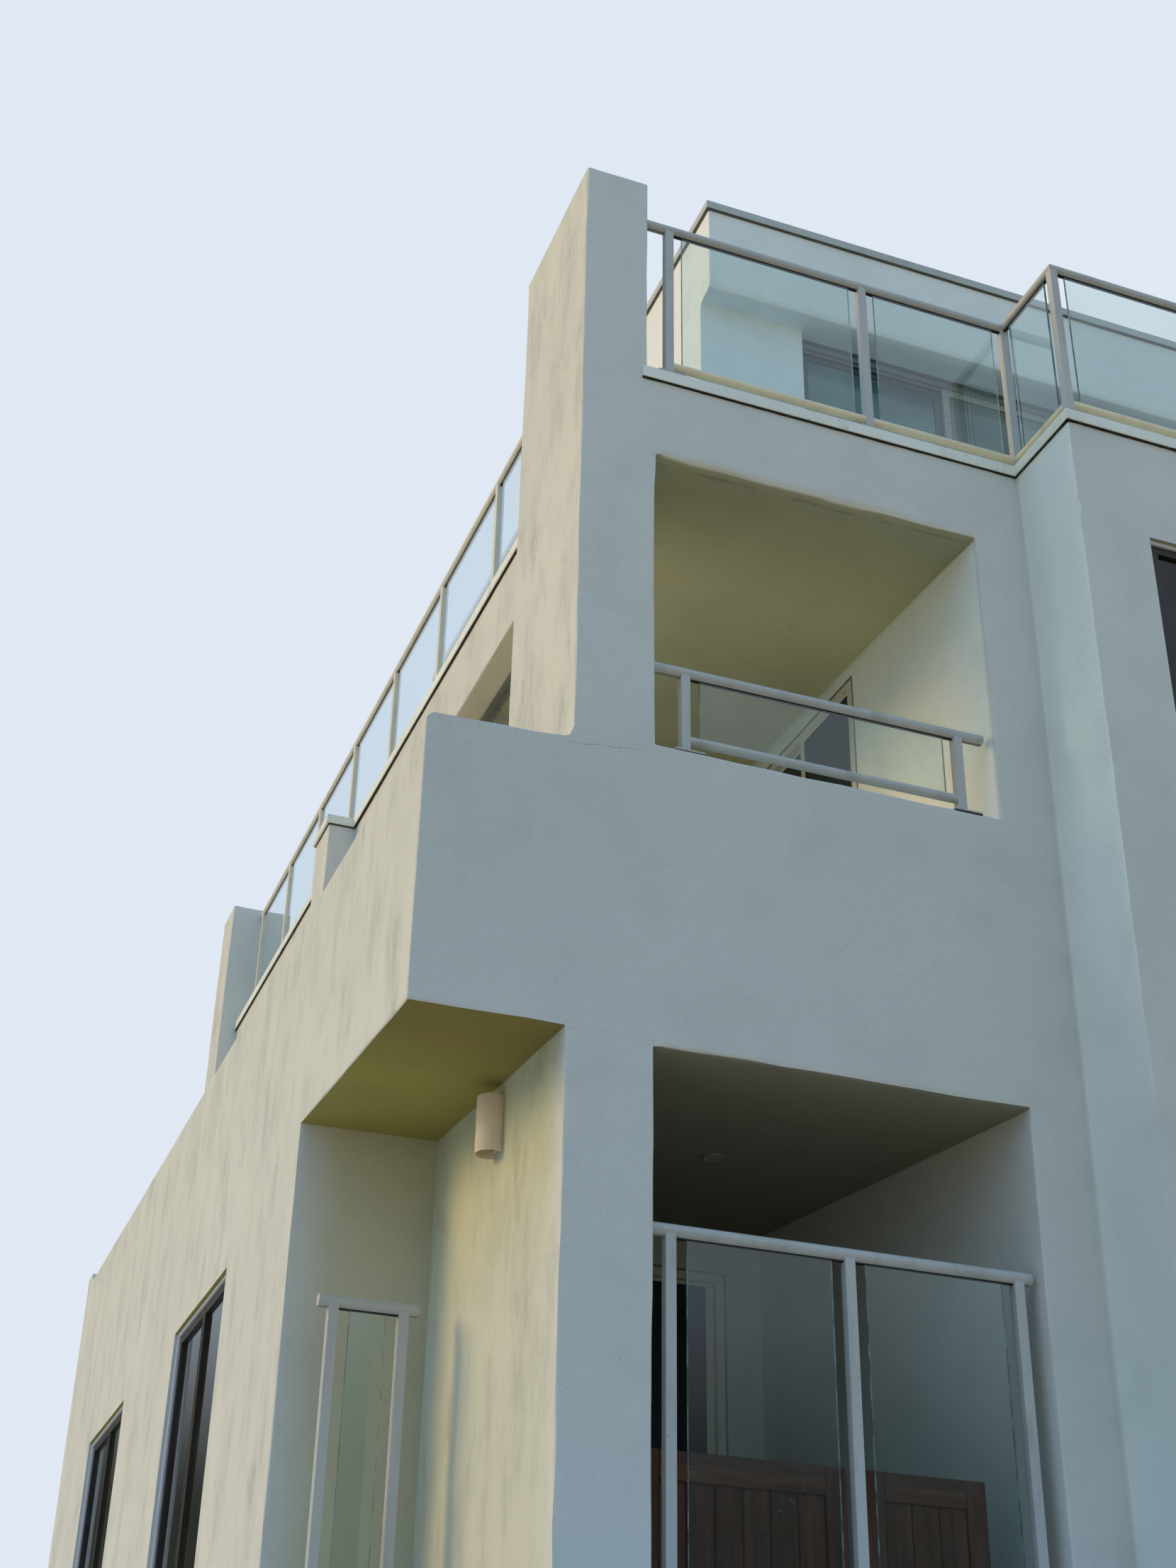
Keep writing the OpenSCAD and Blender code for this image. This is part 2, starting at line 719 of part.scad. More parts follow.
module loggia_glass() {
    color("#bfd6cf") both_sides() panes_between(loggia_post_x, loggia_rail_y,
        loggia_low_z + low_rail_r, loggia_rail_z - rail_r);
}

// Lower wind screens: in the loggia openings, and across the back of the corner porches
screen_post_x = spaced(loggia_in_x + screen_post_gap, loggia_out_x - screen_post_gap, loggia_w / 2);
porch_post_gap = 1.5 * post_w;
porch_post_x = [porch_screen_in_x + porch_post_gap, porch_screen_out_x - porch_post_gap];
screen_foot = 60;

module screen_rails() {
    painted() both_sides() {
        tube([loggia_in_x + rail_end_gap, loggia_rail_y, screen_rail_z],
             [loggia_out_x, loggia_rail_y, screen_rail_z], rail_r);
        tube([porch_screen_in_x, porch_screen_y, porch_rail_z],
             [porch_screen_out_x, porch_screen_y, porch_rail_z], rail_r);
    }
}

module screen_posts() {
    painted() both_sides() {
        for (x = screen_post_x) post_x(x, loggia_rail_y, lower_z, screen_rail_z);
        for (x = porch_post_x) post_x(x, porch_screen_y, lower_z, porch_rail_z);
    }
}

module screen_glass() {
    z0 = lower_z + screen_foot;
    color("#bfd6cf") both_sides() {
        panes_between(screen_post_x, loggia_rail_y, z0, screen_rail_z - rail_r);
        panes_between(porch_post_x, porch_screen_y, z0, porch_rail_z - rail_r);
    }
}

// Board panels that stand on the lower loggia's floor behind its screen
module timber_panels() {
    y = front_in_y + panel_t;
    split_x = screen_post_x[1] - panel_split;
    color("#5a3a24") both_sides() {
        block([loggia_in_x + panel_gap, y, lower_z],
              [split_x - panel_split / 2, y + panel_t, lower_z + inner_panel_h]);
        block([split_x + panel_split / 2, y, lower_z],
              [loggia_out_x - panel_t, y + panel_t, lower_z + outer_panel_h]);
    }
}

// Windows of all walls
module all_windows(depth_out, depth) {
    front_panel(bay_y + depth_out, depth) children(0);
    both_sides() {
        side_panel(side_x - depth_out - depth, depth) children(1);
        side_panel(outer_x - depth_out - depth, depth) children(2);
    }
    front_panel(back_y - depth_out - depth, depth) children(3);
}

module window_frames() {
    color("#eceeec") all_windows(frame_set, frame_d) {
        window_frame_outline(front_windows);
        window_frame_outline(upper_side_windows);
        window_frame_outline(lower_side_windows);
        window_frame_outline(concat(back_upper_windows, back_lower_windows));
    }
}

module window_glass() {
    color("#30363c") all_windows(frame_set + (frame_d - pane_t) / 2, pane_t) {
        window_pane_outline(front_windows);
        window_pane_outline(upper_side_windows);
        window_pane_outline(lower_side_windows);
        window_pane_outline(concat(back_upper_windows, back_lower_windows));
    }
}

// Sliding doors: in the upper loggia's inner wall and the lower loggia's back wall
upper_slider = [loggia_back_y - slider_from_back - slider_w / 2, upper_z,
    slider_w, upper_head_z - slider_head_t - upper_z, 2];
lower_slider = [(loggia_in_x + loggia_out_x) / 2, lower_z,
    slider_w, lower_head_z - slider_head_t - lower_z, 2];

module sliders(depth) {
    back = slider_set + (frame_d - depth) / 2;
    both_sides() {
        side_panel(loggia_in_x - back - depth, depth) children(0);
        front_panel(loggia_back_y + back, depth) children(1);
    }
}

module slider_frames() {
    color("#eceeec") sliders(frame_d) {
        window_frame_outline([upper_slider], slider_frame_w);
        window_frame_outline([lower_slider], slider_frame_w);
    }
}

module slider_glass() {
    color("#30363c") sliders(pane_t) {
        window_pane_outline([upper_slider], slider_frame_w);
        window_pane_outline([lower_slider], slider_frame_w);
    }
}

// Entrance at the back: a frame on three sides and a plain leaf
module entrance_frame() {
    color("#eceeec") front_panel(back_y - frame_set - frame_d, frame_d) difference() {
        rect([-entrance_w / 2, lower_z], [entrance_w / 2, entrance_top_z]);
        rect([-entrance_w / 2 + frame_w, lower_z - 1], [entrance_w / 2 - frame_w, entrance_top_z - frame_w]);
    }
}

module entrance_door() {
    leaf_t = frame_d / 2;
    color("#5a3a24") front_panel(back_y - frame_set - frame_d / 2 - leaf_t / 2, leaf_t)
        rect([-entrance_w / 2 + frame_w, lower_z], [entrance_w / 2 - frame_w, entrance_top_z - frame_w]);
}

// Penthouse: walls with a wide door opening, a front band, a roof and a coping
module penthouse_walls() {
    stucco() translate([0, 0, deck_z]) linear_extrude(pent_soffit_h) difference() {
        rect([-pent_x, pent_wall_y], [pent_x, pent_back_y]);
        rect([-pent_x + pent_wall_t, pent_wall_in_y], [pent_x - pent_wall_t, pent_back_y - pent_wall_t]);
        rect([-pent_door_x, pent_wall_y - 1], [pent_door_x, pent_wall_in_y + 1]);
    }
}

// Outline of the front band in y and z: its lower edge is rounded
module band_outline() {
    rect([pent_front_y + pent_band_r, pent_soffit_z], [pent_wall_in_y, pent_top_z]);
    rect([pent_front_y, pent_soffit_z + pent_band_r], [pent_wall_in_y, pent_top_z]);
    translate([pent_front_y + pent_band_r, pent_soffit_z + pent_band_r]) circle(pent_band_r);
}

// Outline of the cove between the band's underside and the wall below
module cove_outline() {
    difference() {
        rect([pent_wall_y - pent_band_r, pent_soffit_z - pent_band_r], [pent_wall_y, pent_soffit_z]);
        translate([pent_wall_y - pent_band_r, pent_soffit_z - pent_band_r]) circle(pent_band_r);
    }
}

// The band round the top stands out at the front, and a cove leads down to the wall beside the doors
module penthouse_band() {
    in_x = pent_x - pent_wall_t;
    stucco() {
        side_panel(-pent_x, 2 * pent_x) band_outline();
        translate([0, 0, pent_soffit_z]) linear_extrude(pent_band_h) difference() {
            rect([-pent_x, pent_wall_in_y - 1], [pent_x, pent_back_y]);
            rect([-in_x, pent_wall_in_y - 2], [in_x, pent_back_y - pent_wall_t]);
        }
        both_sides() side_panel(pent_door_x, pent_x - pent_door_x) cove_outline();
    }
}

module penthouse_roof() {
    color("#b9b6ad") block([-pent_x + pent_wall_t, pent_wall_in_y, pent_top_z - slab_t],
        [pent_x - pent_wall_t, pent_back_y - pent_wall_t, pent_top_z]);
}

module penthouse_coping() {
    in_x = pent_x - pent_wall_t;
    out_x = pent_x + coping_lap;
    color("#eceeec") translate([0, 0, pent_top_z]) linear_extrude(pent_coping_t) difference() {
        rect([-out_x, pent_front_y - coping_lap], [out_x, pent_back_y + coping_lap]);
        rect([-in_x, pent_wall_in_y], [in_x, pent_back_y - pent_wall_t]);
    }
}

pent_doors = [0, deck_z, pent_door_w, pent_soffit_h, 4];

module penthouse_door_frames() {
    color("#30363c") front_panel(pent_door_y, frame_d) window_frame_outline([pent_doors]);
}

module penthouse_door_glass() {
    color("#30363c") front_panel(pent_door_y + (frame_d - pane_t) / 2, pane_t)
        window_pane_outline([pent_doors]);
}

// Wall light on a porch pillar: a round shell, open above and below, cut flat at the wall
module wall_lights() {
    z = porch_ceiling_z - sconce_drop - sconce_h;
    color("#cdbfa8") both_sides() translate([pylon_out_x, front_y + sconce_set, z])
        linear_extrude(sconce_h) difference() {
            translate([sconce_out, 0]) circle(sconce_r);
            translate([sconce_out, 0]) circle(sconce_r - sconce_t);
            rect([-sconce_r - 1, -sconce_r - 1], [0, sconce_r + 1]);
        }
}

// Flat round ceiling light under each lower loggia's ceiling
module ceiling_lights() {
    light_t = 12;
    x = (loggia_in_x + loggia_out_x) / 2;
    color("#e8e8e6") both_sides() translate([x, front_y + loggia_d / 2, lower_head_z - light_t])
        cylinder(h = light_t, d = downlight_dia);
}

ground_floor();
bay_wall();
side_walls();
back_wall_lower();
back_wall_upper();
front_walls();
front_pillars();
pylons();
balcony_fronts();
upper_side_walls();
side_lintels();
pilasters();
corner_blocks();
lower_loggia_walls();
upper_loggia_walls();
loggia_ceilings();
porch_ceilings();
screen_tracks();
upper_floor();
roof_deck();
roof_coping();
roof_top_rails();
roof_low_rails();
roof_posts();
roof_glass();
loggia_top_rails();
loggia_low_rails();
loggia_posts();
loggia_glass();
screen_rails();
screen_posts();
screen_glass();
timber_panels();
window_frames();
window_glass();
slider_frames();
slider_glass();
entrance_door();
entrance_frame();
penthouse_walls();
penthouse_band();
penthouse_roof();
penthouse_coping();
penthouse_door_frames();
penthouse_door_glass();
wall_lights();
ceiling_lights();
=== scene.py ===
import bmesh
import bpy
import numpy as np
from mathutils import Matrix, Vector


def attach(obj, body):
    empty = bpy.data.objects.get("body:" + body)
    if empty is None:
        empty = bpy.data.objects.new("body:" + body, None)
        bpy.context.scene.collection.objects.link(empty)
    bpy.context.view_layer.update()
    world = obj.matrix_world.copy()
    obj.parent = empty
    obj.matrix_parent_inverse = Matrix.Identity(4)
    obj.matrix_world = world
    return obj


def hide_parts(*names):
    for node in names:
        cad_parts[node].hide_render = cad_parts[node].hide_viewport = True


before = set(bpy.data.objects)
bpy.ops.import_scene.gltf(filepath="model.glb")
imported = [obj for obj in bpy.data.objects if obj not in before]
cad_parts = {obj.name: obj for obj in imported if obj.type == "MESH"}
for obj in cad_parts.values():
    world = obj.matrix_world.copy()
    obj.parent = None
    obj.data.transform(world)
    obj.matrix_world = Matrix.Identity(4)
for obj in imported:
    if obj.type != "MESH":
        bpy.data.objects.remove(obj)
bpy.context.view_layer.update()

# Camera: it stands where the photograph was taken, left of the front and lower than its ground.
# Its turn and focal length were solved from the vanishing points of the building's edges.
view_right = (0.93504732, -0.3540063, 0.01913253)
view_up = (-0.19276603, -0.46238354, 0.86547254)
view_ahead = (0.29753617, 0.81294588, 0.50059088)
view_place = (-6.56, -11.27, -0.72)
lens = bpy.data.cameras.new("view")
lens.sensor_width = 36
lens.lens = 46.634
lens.clip_end = 300
camera = bpy.data.objects.new("view", lens)
rows = [[view_right[i], view_up[i], -view_ahead[i], view_place[i]] for i in range(3)]
camera.matrix_world = Matrix(rows + [[0, 0, 0, 1]])
bpy.context.scene.collection.objects.link(camera)
bpy.context.scene.camera = camera
bpy.context.scene.view_settings.view_transform = "Standard"


# Light: a pale, slightly cool surround and one soft warm lamp from the left, behind the front's plane.
# The surround is darker below, as ground is, so ceilings stay in shade. The camera sees it plain pale.
class Wire:
    """One output in a node tree. Arithmetic on it adds Math nodes, and node() adds any other node."""

    def __init__(self, tree, output=None):
        self.tree = tree
        self.output = output

    def node(self, kind, settings=None, values=None, output=0):
        made = self.tree.nodes.new("ShaderNode" + kind)
        for key, setting in (settings or {}).items():
            setattr(made, key, setting)
        for key, value in (values or {}).items():
            if isinstance(value, Wire):
                self.tree.links.new(value.output, made.inputs[key])
            else:
                made.inputs[key].default_value = value
        return Wire(self.tree, made.outputs[output])

    def parts(self):
        """The three parts of a direction or a place."""
        return [self.node("SeparateXYZ", None, {0: self}, axis) for axis in "XYZ"]

    def maths(self, operation, first, second=0.0):
        return self.node("Math", {"operation": operation}, {0: first, 1: second})

    def __add__(self, other):
        return self.maths("ADD", self, other)

    __radd__ = __add__

    def __mul__(self, other):
        return self.maths("MULTIPLY", self, other)

    __rmul__ = __mul__

    def __sub__(self, other):
        return self.maths("SUBTRACT", self, other)

    def __rsub__(self, other):
        return self.maths("SUBTRACT", other, self)

    def __abs__(self):
        return self.maths("ABSOLUTE", self)

    def top(self, other):
        return self.maths("MAXIMUM", self, other)

    def least(self, other):
        return self.maths("MINIMUM", self, other)

    def wrap(self, step):
        """The distance from the nearest whole multiple of step."""
        return self.maths("PINGPONG", self, step / 2)

    def ramp(self, low, high):
        """0 below low and 1 above high, with a smooth rise between; it falls where low is the greater."""
        ends = {"Value": self, "From Min": low, "From Max": high}
        return self.node("MapRange", {"interpolation_type": "SMOOTHSTEP"}, ends)

    def blend(self, first, second):
        """A colour from first at 0 to second at 1."""
        return self.node("Mix", {"data_type": "RGBA"}, {0: self, 6: first, 7: second}, 2)

    def tinted(self, tint):
        """This colour times another one."""
        settings = {"data_type": "RGBA", "blend_type": "MULTIPLY"}
        return self.node("Mix", settings, {0: 1.0, 6: self, 7: tint}, 2)


def paint_colour(red, green, blue):
    """A screen colour from 0 to 255 as the linear colour that nodes take."""
    share = np.array([red, green, blue]) / 255
    linear = np.where(share <= 0.04045, share / 12.92, ((share + 0.055) / 1.055) ** 2.4)
    return (*(float(c) for c in linear), 1.0)


def end_nodes(shader, kind):
    """Links a shader to the output of its node tree, which is of the given kind."""
    end = shader.tree.nodes.new("ShaderNodeOutput" + kind)
    shader.tree.links.new(shader.output, end.inputs["Surface"])


world = bpy.data.worlds.new("surround")
world.use_nodes = True
world.node_tree.nodes.clear()
bpy.context.scene.world = world
sky = Wire(world.node_tree)
ray_side, _, ray_height = sky.node("TexCoord", None, None, "Generated").parts()
sky_tint = ray_height.ramp(-0.25, 0.35).blend((0.40, 0.35, 0.24, 1), (0.39, 0.63, 0.92, 1))
from_camera, from_mirror, from_glass = [sky.node("LightPath", None, None, f"Is {kind} Ray")
                                        for kind in ("Camera", "Glossy", "Transmission")]
seen = from_camera.top(from_mirror).top(from_glass)
sky_strength = ray_side.ramp(0.4, -0.9) * 0.17 + 0.96
lit_sky = sky.node("Background", None, {"Color": sky_tint, "Strength": sky_strength})
mirrored = ray_height.ramp(0.17, 0.30).blend((0.05, 0.06, 0.05, 1), (0.62, 0.72, 0.84, 1))
back_tint = from_mirror.blend((0.74, 0.81, 0.90, 1), mirrored)
pale_sky = sky.node("Background", None, {"Color": back_tint, "Strength": 1.0})
end_nodes(sky.node("MixShader", None, {0: seen, 1: lit_sky, 2: pale_sky}), "World")

lamp = bpy.data.lights.new("warm_lamp", "SUN")
lamp.energy = 1.60
lamp.angle = 0.45
lamp.color = (1.0, 0.645, 0.20)
lamp_holder = bpy.data.objects.new("warm_lamp", lamp)
lamp_holder.matrix_world = Vector((-0.86, 0.36, 0.36)).to_track_quat("Z", "Y").to_matrix().to_4x4()
bpy.context.scene.collection.objects.link(lamp_holder)


# Floor: a plain pale sheet under the building, not part of it. It fades out at its edges.
# It ends 1.4 m in front of the bay, because the camera looks up from below its level.
def new_finish(name):
    """An empty material, the place on the piece in metres as a Wire, and the place's three parts."""
    material = bpy.data.materials.new(name)
    material.use_nodes = True
    material.node_tree.nodes.clear()
    place = Wire(material.node_tree).node("TexCoord", None, None, "Object")
    return material, place, place.parts()


sheet_end, sheet_front, sheet_z = 16, -6.1, -0.002
floor_finish, place, (x, y, _) = new_finish("pale_floor")
fade = y.ramp(sheet_front, -5.0).least(y.ramp(sheet_end, 10))
fade = fade.least(x.ramp(-sheet_end, -9)).least(x.ramp(sheet_end, 9))
floor_sheet = place.node("BsdfPrincipled", None, {"Base Color": (0.62, 0.63, 0.64, 1), "Roughness": 0.9})
see_through = place.node("BsdfTransparent")
end_nodes(place.node("MixShader", None, {0: fade, 1: see_through, 2: floor_sheet}), "Material")
floor_mesh = bpy.data.meshes.new("floor")
sheet_corners = [(-sheet_end, sheet_front, sheet_z), (sheet_end, sheet_front, sheet_z),
                 (sheet_end, sheet_end, sheet_z), (-sheet_end, sheet_end, sheet_z)]
floor_mesh.from_pydata(sheet_corners, [], [(0, 1, 2, 3)])
floor_mesh.materials.append(floor_finish)
floor = bpy.data.objects.new("floor", floor_mesh)
bpy.context.scene.collection.objects.link(floor)


# Stucco walls: blockwork under one coat of hand-trowelled white stucco that runs round every corner
# without a seam, from the lower walls through pillars, pylons, parapets and loggias to the roof's kerb.
# Corners are trowelled nearly sharp but wander a little, and the heads of the openings are rolled.
EDGE_R = 0.009


def grid_lines(planes, added, widest, more=()):
    """The coordinates of a wall grid along one axis: every plane, lines at the added distances from
    each plane, more lines, and even steps no wider than widest between them all."""
    planes = np.unique(np.round(planes, 6))
    extra = np.concatenate([more] + [planes + side * reach for reach in added for side in (-1, 1)])
    extra = extra[(extra > planes[0]) & (extra < planes[-1])]
    far = np.abs(extra[:, None] - planes[None]).min(1) > 0.007
    lines = np.sort(np.concatenate([planes, extra[far]]))
    keep = np.ones(len(lines), bool)
    for i in range(1, len(lines)):
        last = np.flatnonzero(keep[:i])[-1]
        near = lines[i] - lines[last] < 0.007
        if near and lines[i] in planes and lines[last] in planes:
            continue
        if near and lines[i] in planes:
            keep[last] = False
        elif near:
            keep[i] = False
    lines = lines[keep]
    steps = [np.linspace(a, b, max(1, int(np.ceil((b - a) / widest))), endpoint=False)
             for a, b in zip(lines[:-1], lines[1:])]
    return np.concatenate(steps + [lines[-1:]])


def fill_cells(blocks, lines):
    """True for each cell of the grid that the blocks fill. A block is (fills, low corner, high corner),
    and a later block fills or clears what earlier ones left."""
    middles = [(line[1:] + line[:-1]) / 2 for line in lines]
    filled = np.zeros([len(m) for m in middles], bool)
    for fills, low, high in blocks:
        inside = [(m > a) & (m < b) for m, a, b in zip(middles, low, high)]
        filled[np.ix_(*inside)] = fills
    return filled


def shrink_cells(filled, lines, reach):
    """The cells that lie at least reach inside the filled ones, measured along each axis in turn."""
    for axis in range(3):
        line = lines[axis]
        first = np.clip(np.searchsorted(line, line[:-1] - reach + 1e-6, "right") - 1, 0, None)
        past = np.clip(np.searchsorted(line, line[1:] + reach - 1e-6, "left"), None, len(line) - 1)
        sums = np.cumsum(np.moveaxis(filled, axis, 0), 0, dtype=int)
        sums = np.concatenate([np.zeros((1,) + sums.shape[1:], int), sums])
        whole = sums[past] - sums[first] == (past - first).reshape(-1, 1, 1)
        outside = (line[:-1] - reach < line[0] - 1e-6) | (line[1:] + reach > line[-1] + 1e-6)
        whole[outside] = False
        filled = np.moveaxis(whole, 0, axis)
    return filled


def cells_to_blocks(cells, lines):
    """Splits the cells into few blocks: each grows from the first free cell as far as it can."""
    left = cells.copy()
    found = []
    while left.any():
        start = np.unravel_index(np.argmax(left), left.shape)
        end = [i + 1 for i in start]
        for axis in (2, 1, 0):
            while end[axis] < left.shape[axis]:
                part = [slice(a, b) for a, b in zip(start, end)]
                part[axis] = end[axis]
                if not left[tuple(part)].all():
                    break
                end[axis] += 1
        left[tuple(slice(a, b) for a, b in zip(start, end))] = False
        found.append(([lines[k][start[k]] for k in range(3)], [lines[k][end[k]] for k in range(3)]))
    return np.array(found)


def skin_of_cells(filled, lines):
    """The skin between filled and empty cells: corner points and four-sided faces that face outwards."""
    shape = [len(line) for line in lines]
    number = np.arange(np.prod(shape)).reshape(shape)
    around = np.pad(filled, 1)
    faces = []
    for axis in range(3):
        cut = tuple(slice(1, -1) if k != axis else slice(None) for k in range(3))
        layer = np.moveaxis(around[cut], axis, 0)
        before, after = layer[:-1], layer[1:]
        corner = np.moveaxis(number, axis, 0)
        quads = np.stack([corner[:, :-1, :-1], corner[:, 1:, :-1], corner[:, 1:, 1:], corner[:, :-1, 1:]], -1)
        if axis == 1:
            quads = quads[..., ::-1]
        faces += [quads[before & ~after], quads[~before & after][:, ::-1]]
    faces = np.concatenate(faces)
    used, faces = np.unique(faces, return_inverse=True)
    index = np.unravel_index(used, shape)
    points = np.stack([lines[k][index[k]] for k in range(3)], 1)
    return points, faces.reshape(-1, 4)


def round_edges(points, core, radius):
    """Moves each skin point to radius from its nearest point in the core, which is the solid shrunk by
    radius. Flat faces stay where they are, and outer edges and corners become arcs."""
    nearest = np.full(len(points), np.inf)
    heart = points.copy()
    for low, high in core:
        inside = np.clip(points, low, high)
        away = np.linalg.norm(points - inside, axis=1)
        closer = away < nearest
        nearest[closer] = away[closer]
        heart[closer] = inside[closer]
    near = (nearest > radius * 1.001) & (nearest < radius * 1.8)
    moved = points.copy()
    moved[near] = heart[near] + (points - heart)[near] * (radius / nearest[near])[:, None]
    return moved, near


def trowel_waves(points, length, seed):
    """A smooth unevenness from -1 to 1 along each axis: a sum of twelve sine waves of about the given
    length, in directions drawn at random from the seed."""
    draw = np.random.default_rng(seed)
    total = np.zeros_like(points)
    for axis in range(3):
        directions = draw.normal(size=(12, 3))
        directions /= np.linalg.norm(directions, axis=1)[:, None]
        turns = 2 * np.pi / (length * draw.uniform(0.75, 1.6, 12))
        total[:, axis] = np.sin(points @ (directions * turns[:, None]).T + draw.uniform(0, 6.28, 12)).mean(1)
    return total * 2


def on_side(side, low, high):
    """A box drawn on the right, or its mirror image on the left where side is -1."""
    return (low, high) if side > 0 else ((-high[0], *low[1:]), (-low[0], *high[1:]))


def both_sides(blocks, middle=()):
    """The blocks in the middle, and then the others with their mirror images."""
    return [*middle, *((fills, *on_side(side, low, high)) for fills, low, high in blocks for side in (1, -1))]


def put_mesh(name, points, faces, materials, chosen=None, outward=True, sharp=50):
    """Makes an object at the origin from points and faces, smooth but for edges over sharp degrees."""
    mesh = bpy.data.meshes.new(name)
    mesh.from_pydata(np.asarray(points).tolist(), [], [list(map(int, face)) for face in faces])
    for material in materials:
        mesh.materials.append(material)
    if chosen is not None:
        mesh.polygons.foreach_set("material_index", np.asarray(chosen, np.int32))
    if outward:
        shape = bmesh.new()
        shape.from_mesh(mesh)
        bmesh.ops.recalc_face_normals(shape, faces=shape.faces)
        shape.to_mesh(mesh)
        shape.free()
    mesh.shade_smooth()
    mesh.set_sharp_from_angle(angle=np.radians(sharp))
    mesh.update()
    made = bpy.data.objects.new(name, mesh)
    bpy.context.scene.collection.objects.link(made)
    even = made.modifiers.new("even_light", "WEIGHTED_NORMAL")
    even.keep_sharp = True
    return made


def place_piece(made, nodes):
    """Ties a piece to the frame: it rides on the root and stands for nodes, which are hidden."""
    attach(made, "root")
    if nodes:
        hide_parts(*nodes)
    return made


outer_x, outer_in, bay_x, bay_in = 4.735, 4.535, 1.715, 1.515
side_x, side_in, pylon_in, pylon_out = 3.88, 3.68, 3.755, 4.085
room_x, loggia_in, loggia_out, porch_in = 1.84, 1.99, 3.71, 3.86
loggia_mid, corner_in, corner_out, pilaster_out = 2.85, 3.53, 4.02, 4.06
bay_y, bay_back, front_y, front_in = -4.80, -4.60, -4.31, -4.11
pylon_back, porch_back, loggia_back, room_y = -3.39, -2.58, -1.61, -1.46
pilaster_y, corner_y, back_in, back_y = (0.63, 0.99), 4.40, 4.60, 4.80
ground_z, slab_z, upper_z, upper_top = 0.18, 2.98, 3.18, 5.68
lower_head, upper_head, porch_head, slider_h = 2.43, 5.43, 2.455, 2.24
parapet_z, sill_z, wall_top, pylon_top, corner_top = 3.795, 3.83, 5.895, 7.19, 7.02
under_cap = wall_top + 0.035
wall_thick, window_h, window_w, bay_window_w = 0.20, 1.48, 1.40, 2.66
slider_y, slider_half = (-2.965, -1.655), 0.655
entrance_half, entrance_head = 0.55, 2.28
one_side = [
    (True, (outer_in, front_in, 0), (outer_x, back_in, parapet_z)),
    (False, (outer_in, front_in, -1), (outer_x, porch_back, porch_head)),
    (True, (bay_x, front_y, 0), (pylon_in, front_in, under_cap)),
    (False, (loggia_out, front_y, 0), (pylon_in, front_in, slab_z)),
    (False, (loggia_in, front_y, -1), (loggia_out, front_in, lower_head)),
    (False, (loggia_in, front_y, sill_z), (loggia_out, front_in, upper_head)),
    (True, (loggia_out, front_y, 0), (pylon_out, porch_back, slab_z)),
    (True, (pylon_in, front_y, slab_z), (pylon_out, pylon_back, pylon_top)),
    (True, (pylon_out, front_y, porch_head), (outer_x, front_in, parapet_z)),
    (True, (side_in, loggia_back, upper_z), (side_x, corner_y, under_cap)),
    (True, (side_in, pylon_back, upper_head), (side_x, loggia_back, under_cap)),
    (True, (side_x, pilaster_y[0], upper_z), (pilaster_out, pilaster_y[1], under_cap)),
    (True, (corner_in, corner_y, upper_z), (corner_out, back_y, corner_top)),
    (True, (room_x, front_in, ground_z), (loggia_in, room_y, slab_z)),
    (True, (room_x, loggia_back, ground_z), (porch_in, room_y, slab_z)),
    (True, (loggia_out, porch_back, ground_z), (porch_in, room_y, slab_z)),
    (True, (loggia_out, porch_back, ground_z), (outer_in, -2.43, slab_z)),
    (True, (room_x, front_in, upper_z), (loggia_in, room_y, upper_top)),
    (True, (room_x, loggia_back, upper_z), (side_in, room_y, upper_top)),
]
wall_blocks = both_sides(one_side, [
    (True, (-bay_x, bay_y, 0), (bay_x, front_in, under_cap)),
    (False, (-bay_in, bay_back, -1), (bay_in, front_in, 9)),
    (True, (-outer_x, back_in, 0), (outer_x, back_y, parapet_z)),
    (False, (-corner_out, back_in, upper_z), (corner_out, back_y, parapet_z)),
    (True, (-corner_in, back_in, upper_z), (corner_in, back_y, under_cap)),
])
ceilings = both_sides([
    (True, (loggia_in, front_in, lower_head), (loggia_out, loggia_back, slab_z)),
    (True, (loggia_in, front_in, upper_head), (pylon_in, loggia_back, upper_top)),
    (True, (pylon_out, front_in, porch_head), (outer_in, porch_back, slab_z)),
])
framed = both_sides([
    (False, (loggia_mid - slider_half, loggia_back, 0), (loggia_mid + slider_half, room_y, 2.42)),
    (False, (room_x, slider_y[0], 3), (loggia_in, slider_y[1], upper_z + slider_h)),
], [(False, (-entrance_half, back_in, ground_z), (entrance_half, back_y, entrance_head))])
windows = []
for foot, face, back_middles in ((3.80, side_x, (-2.115, 0.0, 2.115)), (0.80, outer_x, (-2.115, 2.115))):
    windows.append(("y", bay_y, 1, 0.0, foot, bay_window_w, 3))
    windows += [("x", side * face, -side, middle, foot, window_w, 2) for middle in (-0.415, 2.695)
                for side in (-1, 1)]
    windows += [("y", back_y, -1, middle, foot, window_w, 2) for middle in back_middles]
for axis, face, inward, middle, foot, width, _ in windows:
    hole = np.array([np.sort([face, face + inward * wall_thick]), (middle - width / 2, middle + width / 2),
                     (foot, foot + window_h)])
    framed.append((False, *(hole if axis == "x" else hole[[1, 0, 2]]).T))


def planes_of(blocks, low, high):
    """The blocks' coordinates along each axis, from low to high only."""
    corners = np.array([corner for _, *ends in blocks for corner in ends])
    return [line[(line >= a) & (line <= b)] for line, a, b in zip(corners.T, low, high)]


